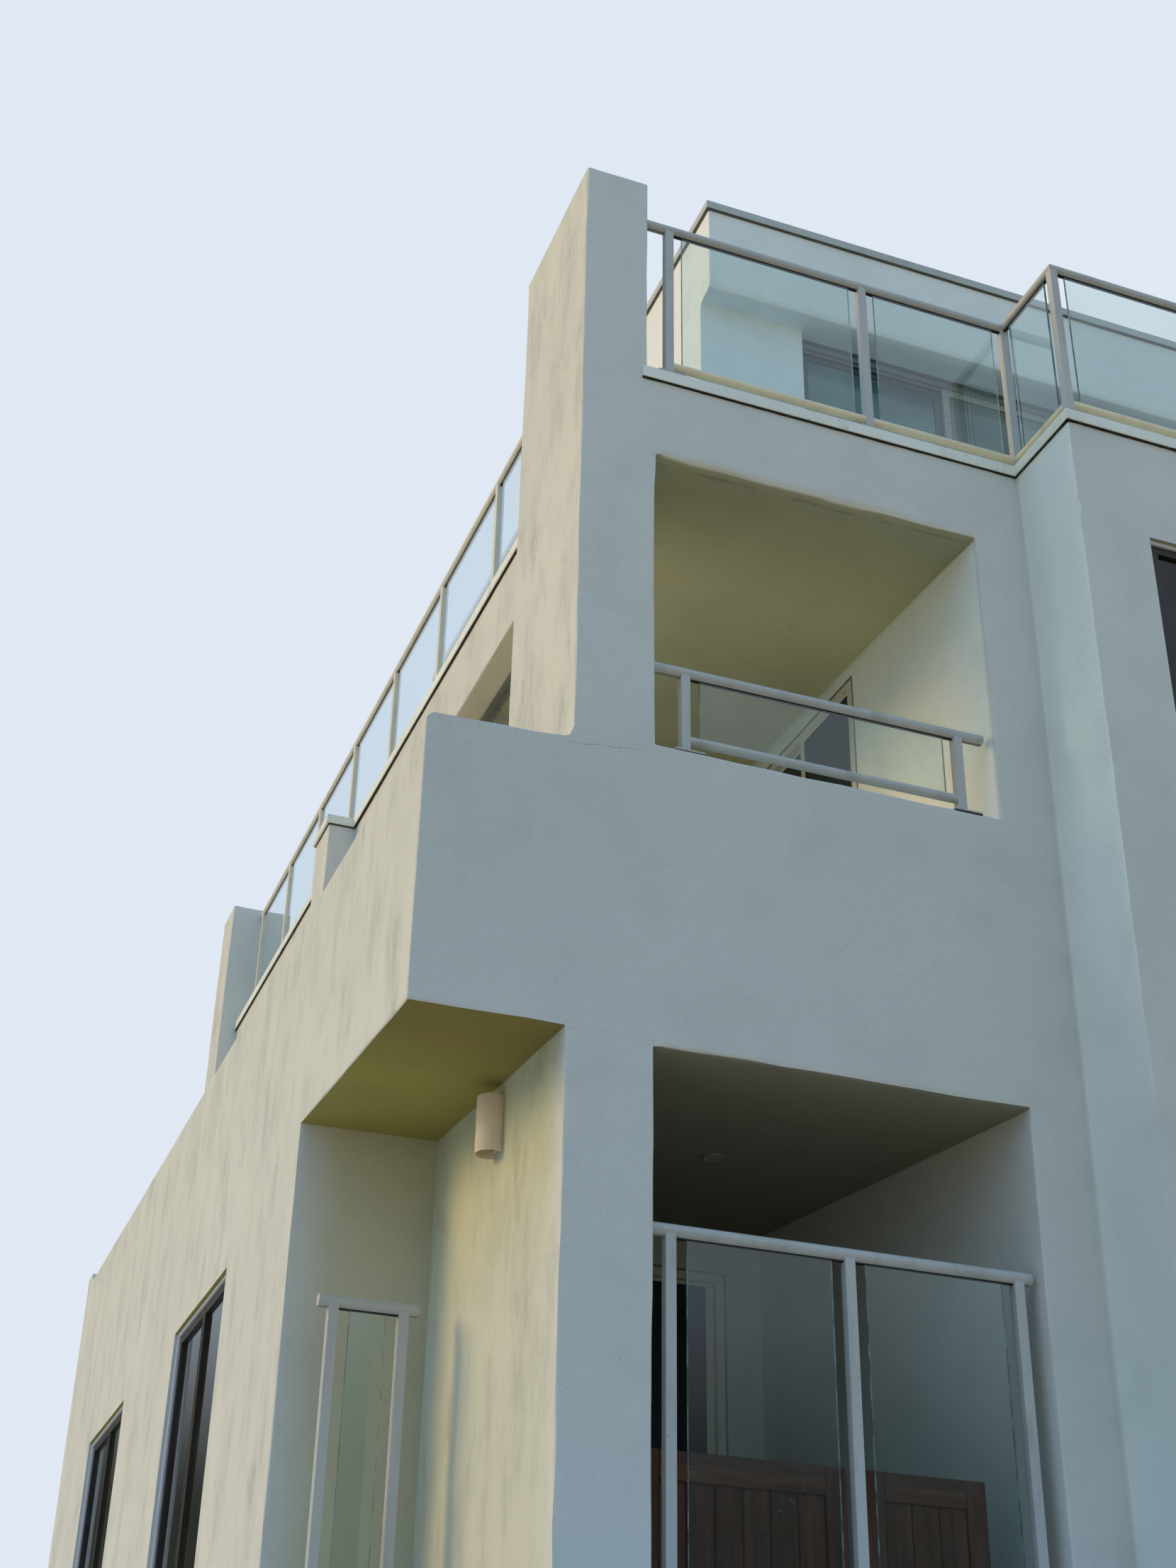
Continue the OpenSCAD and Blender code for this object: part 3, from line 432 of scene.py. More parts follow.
def rounded_skin(cells, whole, lines):
    """The skin of the cells: its flat points, its faces, its points with the outer edges rounded, and
    which of them were moved. The cells in whole, continued downwards, set the rounding."""
    margin = [np.concatenate([[line[0] - 1], line, [line[-1] + 1]]) for line in lines]
    whole = np.pad(whole, 1)
    whole[:, :, 0] = whole[:, :, 1]
    core = cells_to_blocks(shrink_cells(whole, margin, EDGE_R), margin)
    flat, faces = skin_of_cells(cells, lines)
    return flat, faces, *round_edges(flat, core, EDGE_R)


wall_low, wall_high = (-outer_x, bay_y, 0), (outer_x, back_y, pylon_top)
wall_planes = planes_of(wall_blocks + framed, wall_low, wall_high)
lip_r, corner_r, head_r, low_head_r = 0.055, 0.040, 0.055, 0.024
arc_x = [side * x for side in (-1, 1) for x in (4.711, 4.694, 4.68, 4.105, 4.115, 4.125)]
wall_lines = [grid_lines(wall_planes[0], (EDGE_R,), 0.2, arc_x)]
wall_lines += [grid_lines(planes, (EDGE_R, low_head_r, 0.042, lip_r), 0.2) for planes in wall_planes[1:]]
whole_cells = fill_cells(wall_blocks + ceilings, wall_lines)
wall_cells = fill_cells(wall_blocks + framed, wall_lines)
skin, wall_faces, wall_points, on_edge = rounded_skin(wall_cells, whole_cells, wall_lines)


def on_arc(pairs, centre, radius):
    """Pairs of coordinates, each moved straight to or from the centre until it is radius away."""
    ray = pairs - np.array(centre)
    return ray * (radius / np.linalg.norm(ray, axis=1)[:, None]) + centre


def turn_arc(points, flat, across, height, radius, way, back):
    """Puts the points near a level edge on an arc round it. flat holds the points before rounding,
    across and height are the edge's two coordinates. way is -1 for an outer edge and 1 for a fillet in
    an inner one. Points behind back stay."""
    side = (np.abs(flat[:, 0]) - across) * way
    rise = (flat[:, 2] - height) * way
    near = (side >= -1e-6) & (side < radius) & (rise >= -1e-6) & (rise < radius) & (flat[:, 1] < back)
    pairs = np.stack([np.abs(flat[near, 0]), flat[near, 2]], 1)
    arc = on_arc(pairs, (across + way * radius, height + way * radius), radius)
    points[near, 0] = arc[:, 0] * np.sign(flat[near, 0])
    points[near, 2] = arc[:, 1]


turn_arc(wall_points, skin, outer_x, parapet_z, lip_r, -1, back_in)
turn_arc(wall_points, skin, pylon_out, parapet_z, corner_r, 1, front_in + 0.01)


def roll_head(points, flat, height, radius):
    """Rolls the front edge of a loggia's head: points within radius of the edge go onto an arc from
    the front face to the underside. The radius falls to nothing at both jambs, over 60 mm, and swells,
    shrinks and dips along the head by two sine waves."""
    along = np.abs(flat[:, 0])
    span = np.clip(np.minimum(along - loggia_in, loggia_out - along) / 0.06, 0, 1)
    centre = (front_y + radius, height + radius)
    near = (flat[:, 1] < centre[0]) & (np.abs(flat[:, 2] - height - radius / 2) < radius / 2 + 1e-6)
    near &= span > 0
    along, span = along[near], span[near]
    swell = span * (0.75 + 0.15 * np.sin(along * 7.3 + 1.0) + 0.10 * np.sin(along * 21.0))
    away = on_arc(flat[near, 1:], centre, radius) - flat[near, 1:]
    points[near, 1:] = flat[near, 1:] + away * swell[:, None]
    points[near, 2] += span * radius * 0.05 * (np.sin(along * 15.0 + 2.0) + np.sin(along * 33.0))


roll_head(wall_points, skin, upper_head, head_r)
roll_head(wall_points, skin, lower_head, low_head_r)
calm = np.clip(wall_points[:, 2:] / 0.3, 0, 1)
uneven = trowel_waves(wall_points, 1.1, 3) * 0.0035
uneven[on_edge] += trowel_waves(wall_points[on_edge], 0.34, 5) * 0.0045
wall_points += uneven * calm
lower_rise, upper_rise, porch_rise = 0.081, 0.054, 0.057


def climb(y, rise):
    """How far a ceiling stands above its head: it climbs evenly towards the back."""
    return np.clip(y + 4.24, 0, None) * rise


skin_x = np.abs(skin[:, 0])
for height, rise, low, high in ((lower_head, lower_rise, loggia_in, loggia_out),
                                (upper_head, upper_rise, loggia_in, loggia_out),
                                (porch_head, porch_rise, pylon_out, outer_x)):
    above = skin[:, 2] - height
    near = (above > -1e-6) & (above < 0.4) & (skin_x > low - 0.001) & (skin_x < high + 0.001)
    near &= skin[:, 1] < -2.5
    wall_points[near, 2] += climb(skin[near, 1], rise) * (1 - above[near] / 0.4)
crown = (skin[:, 2] > pylon_top - 0.001) & (skin[:, 1] < pylon_back + 0.01)
crown_fall = 0.048
wall_points[crown, 2] -= (skin[crown, 1] - front_y) * crown_fall
parapet_foot = 3.5
parapet = (skin_x > pylon_out + 0.001) & (skin[:, 2] > parapet_foot) & (skin[:, 2] < parapet_z + 0.005)
parapet &= skin[:, 1] < back_in + 0.01
parapet_fall = 0.012 + 0.034 * (skin_x[parapet] - pylon_out)
share_up = (skin[parapet, 2] - parapet_foot) / (parapet_z - parapet_foot)
wall_points[parapet, 2] -= parapet_fall * share_up
wall_points = np.clip(wall_points, wall_low, wall_high)


def noise(place, scale, detail=3.0, rough=0.5, stretch=None, lean=0.0):
    """Fractal noise about 0.5, on coordinates that may be stretched, and leant about X, first."""
    if stretch:
        place = place.node("Mapping", None, {"Vector": place, "Rotation": (lean, 0, 0), "Scale": stretch})
    values = {"Vector": place, "Scale": scale, "Detail": detail, "Roughness": rough}
    return place.node("TexNoise", None, values)


def toned(tint, factor):
    """A colour times one factor, or times one for each part, and no brighter than white."""
    return (*(min(1.0, float(part)) for part in np.array(tint[:3]) * factor), 1)


def coat(material, colour, rough, height, strength=0.8, more=None):
    """Ends a finish with one plain surface: its colour, its roughness and a relief of height metres."""
    bump = height.node("Bump", None, {"Height": height, "Distance": 1.0, "Strength": strength})
    values = {"Base Color": colour, "Roughness": rough, "Normal": bump, **(more or {})}
    end_nodes(height.node("BsdfPrincipled", None, values), "Material")
    return material


def stucco_finish(name, tint):
    """Trowelled stucco: broad mottling, grey streaks that are strongest on faces to the side, partly rain
    stains and partly painted shade of the trowelled relief under a low sun, pin holes, a hairline crack by
    each pylon's foot and dirt under the parapets. Painted light and shade tint the rest: downward faces
    take a dull olive painted shade in the lower loggias and porches, a warmer painted bounce light in the
    upper ones and a bluish painted sky light under the penthouse's band. The upper loggias' walls are
    painted paler as painted light, the porches take a golden painted shade, the bay's return a painted
    brightening, the lower front a painted shade, and faces to the side a warm painted sunlight."""
    material, place, (x, y, z) = new_finish(name)
    across, ahead, above = place.node("NewGeometry", None, None, "Normal").parts()
    far, forward = abs(x), ahead.ramp(-0.6, -0.9)
    sideways, under = abs(across).ramp(0.55, 0.9), above.ramp(-0.72, -0.96)
    broad = noise(place, 0.7, 2.0)
    patch = noise(place, 3.2, 4.0, 0.55)
    grain = noise(place, 60.0, 2.0, 0.6)
    stain = noise(place, 1.0, 3.0, 0.60, (4.0, 4.0, 1.6), 0.10)
    rain = noise(place, 1.0, 4.0, 0.70, (12.0, 12.0, 3.4), 0.10)
    thin_rain = noise(place, 1.0, 5.0, 0.72, (34.0, 34.0, 7.0), 0.08)
    fleck = noise(place, 1.0, 3.0, 0.75, (90.0, 90.0, 34.0))
    worn = noise(place, 1.4, 3.0).ramp(0.38, 0.62)
    scuffed = noise(place, 3.0, 3.0, 0.7).ramp(0.44, 0.62)
    streak = stain.ramp(0.42, 0.72) * (rain.ramp(0.36, 0.66) * 0.32 + 0.10)
    streak = streak + rain.ramp(0.50, 0.78) * scuffed * 0.22
    streak = streak + thin_rain.ramp(0.52, 0.80) * (scuffed * worn * 0.40 + 0.06)
    streak = streak + fleck.ramp(0.52, 0.78) * 0.10
    soiled = z.ramp(3.2, 3.75) * z.ramp(3.80, 3.78) * far.ramp(4.2, 4.6)
    # The streaks stay mostly on faces to the side. There they are partly rain stains and partly painted shade
    # of the trowelled relief under a low sun.
    outer = sideways * far.ramp(3.55, 3.70)
    streak = streak * (0.05 + outer * 0.95) + thin_rain.ramp(0.52, 0.68) * soiled * 0.15
    pale = broad.ramp(0.35, 0.65).blend(tint, toned(tint, 1.05))
    colour = (patch.ramp(0.45, 0.75) * 0.6).blend(pale, toned(tint, (0.90, 0.905, 0.91)))
    colour = (grain.ramp(0.35, 0.7) * 0.35).blend(colour, toned(tint, 0.93))
    colour = streak.least(0.85).blend(colour, (0.30, 0.31, 0.30, 1))
    # Painted sunlight: faces to the side on the pylons and outer walls are warmed as if a low sun lit them.
    painted_sun_warmth = sideways * far.ramp(3.60, 3.72)
    colour = (painted_sun_warmth * 0.9).blend(colour, colour.tinted((1.0, 0.975, 0.91, 1)))
    holes = place.node("TexVoronoi", None, {"Vector": place, "Scale": 24.0, "Randomness": 1.0}, "Distance")
    pit = holes.ramp(0.085, 0.045) * noise(place, 7.0, 2.0).ramp(0.56, 0.62)
    colour = (pit * 0.5).blend(colour, (0.22, 0.21, 0.18, 1))
    waver = noise(place, 9.0, 5.0, 0.7) * 0.06 + noise(place, 1.3, 2.0) * 0.16
    foot_line = abs(z - 3.772 - waver + 0.11 + (far - 4.1) * 0.05)
    crack = foot_line.ramp(0.0020, 0.0005) * far.ramp(3.70, 3.85) * far.ramp(4.12, 4.08) * forward
    slab_line = abs(z - 2.452 - noise(place, 6.0, 5.0, 0.7) * 0.06 + 0.03)
    crack = crack + slab_line.ramp(0.0016, 0.0004) * abs(far - 3.9).ramp(0.22, 0.18) * forward * 0.35
    sill_line = abs(z - 3.668 - noise(place, 5.0, 5.0, 0.7) * 0.05)
    crack = crack + sill_line.ramp(0.0014, 0.0004) * abs(far - 2.9).ramp(0.9, 0.5) * forward * 0.22
    colour = (crack * 0.6).blend(colour, (0.12, 0.12, 0.11, 1))
    hair = noise(place, 1.0, 4.0, 0.65, (4.0, 60.0, 60.0)).ramp(0.48, 0.58)
    hair = hair * abs(z - 5.433).ramp(0.012, 0.006)
    hair = hair * abs(y + 4.248).ramp(0.016, 0.008) * abs(far - 2.85).ramp(0.87, 0.83)
    colour = (hair * 0.35).blend(colour, (0.14, 0.13, 0.10, 1))
    # Painted shade and light on downward faces: olive painted shade in the lower loggias and porches, warmer
    # painted bounce light deeper in the upper loggias and bluish painted sky light under the penthouse's
    # band.
    olive = y.ramp(-4.3, -3.2).blend((0.55, 0.555, 0.42, 1), (0.90, 0.86, 0.57, 1))
    olive = (far.ramp(2.7, 3.75) * y.ramp(-4.1, -3.3) * 0.7).blend(olive, (1.42, 1.26, 0.78, 1))
    porch_olive = y.ramp(-4.2, -3.3).blend((0.38, 0.31, 0.10, 1), (0.54, 0.47, 0.14, 1))
    dull_olive = far.ramp(4.0, 4.1).blend((0.45, 0.44, 0.35, 1), porch_olive)
    ceiling = z.ramp(3.5, 4.5).blend(dull_olive, z.ramp(7.0, 7.5).blend(olive, (0.88, 1.02, 1.18, 1)))
    # Painted light: a warm brightening on the underside of each side lintel.
    lintel = far.ramp(3.70, 3.72) * abs(z - 5.45).ramp(0.10, 0.06) * y.ramp(-3.40, -3.38)
    ceiling = lintel.blend(ceiling, (1.45, 1.18, 0.85, 1))
    # Painted light: the inner walls of the upper loggias are made paler.
    loggia_wall_painted_light = y.ramp(-4.305, -4.27) * y.ramp(-1.45, -1.55) * far.ramp(3.77, 3.74)
    loggia_wall_painted_light = loggia_wall_painted_light * abs(z - 4.6).ramp(1.0, 0.8)
    painted_wall_light_and_shade = loggia_wall_painted_light.blend((1, 1, 1, 1), (1.30, 1.37, 1.38, 1))
    # Painted shade: the porches are tinted golden olive, most on faces to the front.
    porch = far.ramp(4.05, 4.08) * far.ramp(4.734, 4.50) * y.ramp(-4.31, -4.1) * y.ramp(-2.45, -2.5)
    porch = porch * z.ramp(2.7, 2.6)
    painted_wall_light_and_shade = (porch * forward).blend(painted_wall_light_and_shade, (0.82, 0.72, 0.36, 1))
    painted_wall_light_and_shade = (porch * sideways * (z.ramp(1.4, 2.5) * 0.6 + 0.4)).blend(painted_wall_light_and_shade, (0.84, 0.86, 0.66, 1))
    # Painted light: the bay's return is made paler and bluer.
    bay_return_painted_light = far.ramp(1.85, 1.73) * y.ramp(-4.34, -4.62) * z.ramp(2.4, 3.8) * sideways
    bay_return_painted_light = bay_return_painted_light * 0.45 + far.ramp(1.85, 1.73) * y.ramp(-4.32, -4.34) * sideways * 0.55
    painted_wall_light_and_shade = bay_return_painted_light.blend(painted_wall_light_and_shade, (1.26, 1.34, 1.34, 1))
    # Painted shade: faces to the front darken towards the bottom.
    painted_wall_light_and_shade = (forward * z.ramp(5.5, 3.3) * 0.5).blend(painted_wall_light_and_shade, (0.82, 0.83, 0.84, 1))
    colour = colour.tinted(under.blend(painted_wall_light_and_shade, ceiling))
    strokes = {"Vector": place, "Scale": 2.4, "Detail": 4.0, "Roughness": 0.58, "Distortion": 1.6}
    height = broad * 0.006 + noise(place, 4.5, 3.0, 0.5) * 0.0030
    height = height + place.node("TexNoise", None, strokes) * 0.0042
    height = height + noise(place, 18.0, 3.0, 0.55) * 0.0013 + grain * 0.0005
    height = height - pit * 0.0012
    return coat(material, colour, 0.86 + grain * 0.10, height, 0.9, {"Specular IOR Level": 0.25})


stucco = stucco_finish("trowelled_stucco", (0.665, 0.668, 0.620, 1))
walls = put_mesh("stucco_walls", wall_points, wall_faces, [stucco], outward=False)
place_piece(walls, [
    "bay_wall", "side_walls", "back_wall_lower", "back_wall_upper", "front_walls", "front_pillars", "pylons",
    "balcony_fronts", "upper_side_walls", "side_lintels", "pilasters", "corner_blocks", "lower_loggia_walls",
    "upper_loggia_walls"])


# Ceilings of the loggias and porches: board hung under the slabs and skimmed with the same stucco, so
# that they run flush into the heads of the openings. All climb towards the back.
board = 0.05
ceiling_blocks = both_sides([
    (True, (loggia_in, front_in, lower_head), (loggia_out, loggia_back, lower_head + board)),
    (True, (loggia_in, front_in, upper_head), (side_in, loggia_back, upper_head + board)),
    (True, (side_in, front_in, upper_head), (pylon_in, pylon_back, upper_head + board)),
])
porch_blocks = both_sides([
    (True, (pylon_out, front_in, porch_head), (outer_in, porch_back, porch_head + board)),
])
for name, blocks, node in (("loggia_ceiling_boards", ceiling_blocks, "loggia_ceilings"),
                           ("porch_ceiling_boards", porch_blocks, "porch_ceilings")):
    lines = [grid_lines(planes, (), 0.2) for planes in planes_of(blocks, wall_low, wall_high)]
    points, faces = skin_of_cells(fill_cells(blocks, lines), lines)
    points += trowel_waves(points, 1.1, 3) * (0, 0, 0.0035)
    rise = np.where(points[:, 2] > 4, upper_rise, lower_rise) if node == "loggia_ceilings" else porch_rise
    points[:, 2] += climb(points[:, 1], rise) + 0.0015
    place_piece(put_mesh(name, points, faces, [stucco], outward=False), [node])


# Floors and roofs: cast slabs, floated smooth and sealed. They stay as the solids have them and get
# a finish with saw-cut joints, damp patches and fine sand.
def concrete_finish(name, tint, joint_step):
    """Floated concrete: mottled, with joints every joint_step metres and darker damp patches."""
    material, place, (x, y, _) = new_finish(name)
    damp = noise(place, 0.9, 4.0, 0.6)
    sand = noise(place, 90.0, 2.0, 0.7)
    marks = noise(place, 6.0, 4.0, 0.6)
    joint = x.wrap(joint_step).ramp(0.007, 0.004).top(y.wrap(joint_step).ramp(0.007, 0.004))
    colour = damp.ramp(0.35, 0.70).blend(tint, toned(tint, 0.80))
    colour = (marks.ramp(0.45, 0.75) * 0.4).blend(colour, toned(tint, 1.15))
    colour = (joint * 0.7).blend(colour, (0.10, 0.10, 0.09, 1))
    return coat(material, colour, 0.75 + damp * 0.2, marks * 0.0015 + sand * 0.0004 - joint * 0.004)


for name, tint, joint_step, nodes in (
        ("floor_concrete", paint_colour(186, 182, 172), 1.2, ["ground_floor"]),
        ("upper_floor_concrete", paint_colour(232, 229, 216), 1.2, ["upper_floor"]),
        ("roof_membrane", paint_colour(176, 175, 168), 1.0, ["roof_deck", "penthouse_roof"])):
    finish = concrete_finish(name, tint, joint_step)
    for node in nodes:
        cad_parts[node].data.materials.clear()
        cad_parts[node].data.materials.append(finish)


# Copings: folded sheet in lengths, painted white and bedded on the wall tops. Each has a 20 mm drip
# edge over a dark bed of sealant, mitred corners and a narrow joint to the next length.
def loft(rings, closed=False, paint=0):
    """A tube through rings of points, of shape (rings, points, 3): each ring is joined to the next, and
    the ends get a flat cap, or are joined to each other. Like every part it is its points, its faces
    and the number of its material."""
    count, around = rings.shape[:2]
    number = np.arange(count * around).reshape(count, around)
    start = number if closed else number[:-1]
    stop = np.roll(number, -1, 0) if closed else number[1:]
    quads = np.stack([start, np.roll(start, -1, 1), np.roll(stop, -1, 1), stop], -1).reshape(-1, 4)
    caps = [] if closed else [number[0][::-1].tolist(), number[-1].tolist()]
    return rings.reshape(-1, 3), quads.tolist() + caps, paint


def sweep(profile, path, closed=False, paint=0):
    """Carries a closed profile of (across, up) pairs along a level path. At a corner the section lies in
    the plane that halves the turn, and its width is divided by the cosine of half the turn. Across
    points to the right of the path."""
    path = np.asarray(path, float)
    profile = np.asarray(profile, float)
    ahead = np.roll(path, -1, 0) - path
    if not closed:
        ahead[-1] = ahead[-2]
    ahead /= np.linalg.norm(ahead, axis=1)[:, None]
    before = np.roll(ahead, 1, 0)
    if not closed:
        before[0] = ahead[0]
    middle = ahead + before
    middle /= np.linalg.norm(middle, axis=1)[:, None]
    across = np.cross(middle, (0.0, 0.0, 1.0))
    across /= np.linalg.norm(across, axis=1)[:, None] * (middle * ahead).sum(1)[:, None]
    rings = path[:, None] + profile[None, :, :1] * across[:, None]
    rings[:, :, 2] += profile[:, 1]
    return loft(rings, closed, paint)


def put_parts(name, parts, materials, nodes, sharp=40):
    """Joins closed parts to one piece and ties it to the frame. A part's material number may also be a
    list with one number for each face."""
    faces, chosen, count = [], [], 0
    for points, sides, paint in parts:
        faces += [[index + count for index in side] for side in sides]
        chosen += paint if isinstance(paint, list) else [paint] * len(sides)
        count += len(points)
    points = np.concatenate([part[0] for part in parts])
    return place_piece(put_mesh(name, points, faces, materials, chosen, sharp=sharp), nodes)


def white_paint_finish(name, tint, chips, gloss=0.45):
    """Brushed paint on metal or timber: faint brush marks, grey dirt that gathers in streaks, and small
    chips down to a brown ground. chips is their share, from 0 to 1."""
    material, place, _ = new_finish(name)
    broad = noise(place, 1.6, 3.0)
    brush = noise(place, 25.0, 3.0, 0.6, (1.0, 1.0, 4.0))
    dirt = noise(place, 5.0, 5.0, 0.65, (2.0, 2.0, 0.6))
    flake = noise(place, 34.0, 4.0, 0.7)
    chip = flake.ramp(0.70 - 0.08 * chips, 0.74 - 0.08 * chips) * broad.ramp(0.40, 0.62)
    colour = (broad.ramp(0.35, 0.70) * 0.7).blend(tint, toned(tint, 0.90))
    colour = (dirt.ramp(0.50, 0.75) * 0.50).blend(colour, toned(tint, (0.60, 0.60, 0.56)))
    colour = (chip * 0.85).blend(colour, (0.16, 0.14, 0.11, 1))
    height = brush * 0.0003 + dirt * 0.0003 - chip * 0.0006
    return coat(material, colour, gloss + dirt * 0.2 + chip * 0.2, height)


def dark_finish(name, tint, rough):
    """A plain dark stuff such as sealant or rubber, with a little dust on it."""
    material, place, _ = new_finish(name)
    dust = noise(place, 14.0, 4.0, 0.6)
    dusty = (*(c * 1.9 + 0.01 for c in tint[:3]), 1)
    return coat(material, dust.ramp(0.45, 0.8).blend(tint, dusty), rough + dust * 0.15, dust * 0.0006, 0.6)


coping_paint = white_paint_finish("coping_paint", (0.83, 0.84, 0.74, 1), 0.9)
sealant = dark_finish("dark_sealant", (0.018, 0.017, 0.014, 1), 0.7)
coping_z = wall_top - 0.012
coping_top = 0.068
coping_end = 3.781
coping_profile = [(-0.196, coping_top), (-0.2, 0.063), (-0.2, 0.006), (0.012, 0.006), (0.0135, 0.002),
                  (0.0185, 0.002), (0.0200, 0.0045), (0.0195, 0.063), (0.0155, coping_top)]
bed_profile = [(-0.19, -0.003), (0.006, -0.003), (0.0125, 0.0025), (0.0125, 0.008), (-0.19, 0.008)]
sleeve_profile = [(-0.195, 0.010), (0.013, 0.012), (0.0155, 0.062), (0.0115, 0.064), (-0.195, 0.064)]


def ragged(points, faces, paint):
    """A part with its edges drawn in and out, by a few millimetres, by short waves."""
    return points + trowel_waves(points, 0.11, 12) * (0.003, 0.003, 0.0021), faces, paint


def short_steps(path, step=0.04):
    """The path with more points between its own, no more than step apart."""
    pieces = [np.linspace(a, b, max(2, int(np.linalg.norm(b - a) / step)), endpoint=False)
              for a, b in zip(path[:-1], path[1:])]
    return np.concatenate(pieces + [path[-1:]])


def coping_run(path, breaks=()):
    """One run of coping over a level path. breaks are the places, in metres along a straight first
    stretch, where one length ends and the next begins, 3 mm on."""
    path = np.array([(*p, coping_z) for p in path], float)
    parts = [ragged(*sweep(bed_profile, short_steps(path), paint=1))]
    start = path[0]
    way = (path[1] - path[0]) / np.linalg.norm(path[1] - path[0])
    for at in breaks:
        end = path[0] + way * at
        parts.append(sweep(coping_profile, [start, end - way * 0.0015]))
        parts.append(sweep(sleeve_profile, [end - way * 0.03, end + way * 0.03], paint=1))
        start = end + way * 0.0015
    parts.append(sweep(coping_profile, [start, *path[1:]]))
    return parts


coping_parts = []
for path, breaks in (
        ([(-coping_end, front_y), (-bay_x, front_y), (-bay_x, bay_y), (-0.1015, bay_y)], ()),
        ([(-0.0985, bay_y), (bay_x, bay_y), (bay_x, front_y), (coping_end, front_y)], ()),
        ([(side_x, pylon_back), (side_x, 0.61)], (1.35,)),
        ([(side_x, 1.01), (side_x, corner_y)], (1.7,)),
        ([(-side_x, corner_y), (-side_x, 1.01)], (1.7,)),
        ([(-side_x, 0.61), (-side_x, pylon_back)], (2.65,)),
        ([(corner_in, back_y), (-corner_in, back_y)], (2.35, 4.7))):
    coping_parts += coping_run(path, breaks)
coping_parts.append(sweep(sleeve_profile, [(-0.13, bay_y, coping_z), (-0.07, bay_y, coping_z)], paint=1))


def bar(low, high, bevel=0.003, paint=0):
    """A straight block with every edge bevelled: four eight-sided rings along its longest side, the
    outer two drawn in by the bevel."""
    low, high = np.asarray(low, float), np.asarray(high, float)
    long = int(np.argmax(high - low))
    a, b = [k for k in range(3) if k != long]
    half, middle = (high - low) / 2, (high + low) / 2
    rings = np.zeros((4, 8, 3))
    for ring, inset, place in zip(rings, (bevel, 0, 0, bevel),
                                  (low[long], low[long] + bevel, high[long] - bevel, high[long])):
        p, q, c = half[a] - inset, half[b] - inset, bevel * (0.4 if inset else 1)
        ring[:, a] = np.array([p, p - c, c - p, -p, -p, c - p, p - c, p]) + middle[a]
        ring[:, b] = np.array([q - c, q, q, q - c, c - q, -q, -q, c - q]) + middle[b]
        ring[:, long] = place
    return loft(rings, paint=paint)


for side in (-1, 1):
    coping_parts += [
        bar(*on_side(side, (3.68, 0.6115, coping_z + 0.004), (4.08, 1.0085, coping_z + coping_top)), 0.004),
        bar(*on_side(side, (3.69, 0.62, coping_z - 0.001), (4.065, 1.0, coping_z + 0.008)), 0.001, 1)]
put_parts("roof_copings", coping_parts, [coping_paint, sealant], ["roof_coping"])


# Penthouse: the same stucco on a light frame. Its front band stands out over the doors with a rounded
# lower edge, and a cove leads from it down to the wall on each side.
pent_x, pent_in, door_x = 2.74, 2.54, 2.04
band_y, pent_y, pent_back, pent_foot, band_z, pent_top = -2.81, -2.66, 3.09, 5.88, 8.18, 8.85
penthouse_blocks = [
    (True, (-pent_x, pent_y, pent_foot), (pent_x, pent_back, band_z)),
    (True, (-pent_x, band_y, band_z), (pent_x, pent_back, pent_top)),
    (False, (-pent_in, pent_y + wall_thick, pent_foot), (pent_in, pent_back - wall_thick, 9)),
    (False, (-door_x, pent_y, 5.8), (door_x, pent_y + wall_thick, band_z)),
]
pent_low, pent_high = (-pent_x, band_y, pent_foot), (pent_x, pent_back, pent_top)
band_r = 0.055
pent_lines = [grid_lines(planes, (EDGE_R, band_r), 0.2)
              for planes in planes_of(penthouse_blocks, pent_low, pent_high)]
pent_cells = fill_cells(penthouse_blocks, pent_lines)
skin, pent_faces, pent_points, _ = rounded_skin(pent_cells, pent_cells, pent_lines)
near = (skin[:, 1] < band_y + band_r) & (skin[:, 2] > band_z - 1e-6) & (skin[:, 2] < band_z + band_r)
pent_points[near, 1:] = on_arc(skin[near, 1:], (band_y + band_r, band_z + band_r), band_r)
near = (skin[:, 1] > pent_y - band_r) & (skin[:, 1] < pent_y + 0.001) & (skin[:, 2] > band_z - band_r)
near &= (skin[:, 2] < band_z + 0.001) & (np.abs(skin[:, 0]) > door_x)
pent_points[near, 1:] = on_arc(skin[near, 1:], (pent_y - band_r, band_z - band_r), band_r)
pent_points += trowel_waves(pent_points, 1.2, 8) * 0.0025
pent_points = np.clip(pent_points, pent_low, pent_high)
pale_stucco = stucco_finish("pale_stucco", (0.85, 0.86, 0.80, 1))
penthouse = put_mesh("penthouse_stucco", pent_points, pent_faces, [pale_stucco], outward=False)
place_piece(penthouse, ["penthouse_walls", "penthouse_band"])

# Penthouse cap: a painted metal coping with a dark bed under it, in four mitred sides.
# A flat strip covers the rest of the front band, which is thicker than the coping is wide.
cap_profile = [(-0.196, 0.065), (-0.2, 0.060), (-0.2, 0.006), (0.010, 0.006), (0.010, 0.014), (0.015, 0.014),
               (0.0155, 0.003), (0.020, 0.004), (0.0195, 0.060), (0.0155, 0.065)]
cap_z = 8.83
cap_path = [(-pent_x, band_y, cap_z), (pent_x, band_y, cap_z), (pent_x, pent_back, cap_z),
            (-pent_x, pent_back, cap_z)]
cap_parts = [sweep(cap_profile, cap_path, closed=True), sweep(bed_profile, cap_path, closed=True, paint=1),
             bar((-pent_in, -2.62, cap_z + 0.006), (pent_in, -2.455, cap_z + 0.064), 0.002)]
# Painted shade: the white cap's paint is darkened to grey.
cap_paint_painted_shade = white_paint_finish("cap_paint_painted_shade", (0.50, 0.515, 0.47, 1), 0.7)
cap_bed = dark_finish("cap_bed", (0.10, 0.098, 0.082, 1), 0.7)
put_parts("penthouse_cap", cap_parts, [cap_paint_painted_shade, cap_bed], ["penthouse_coping"])


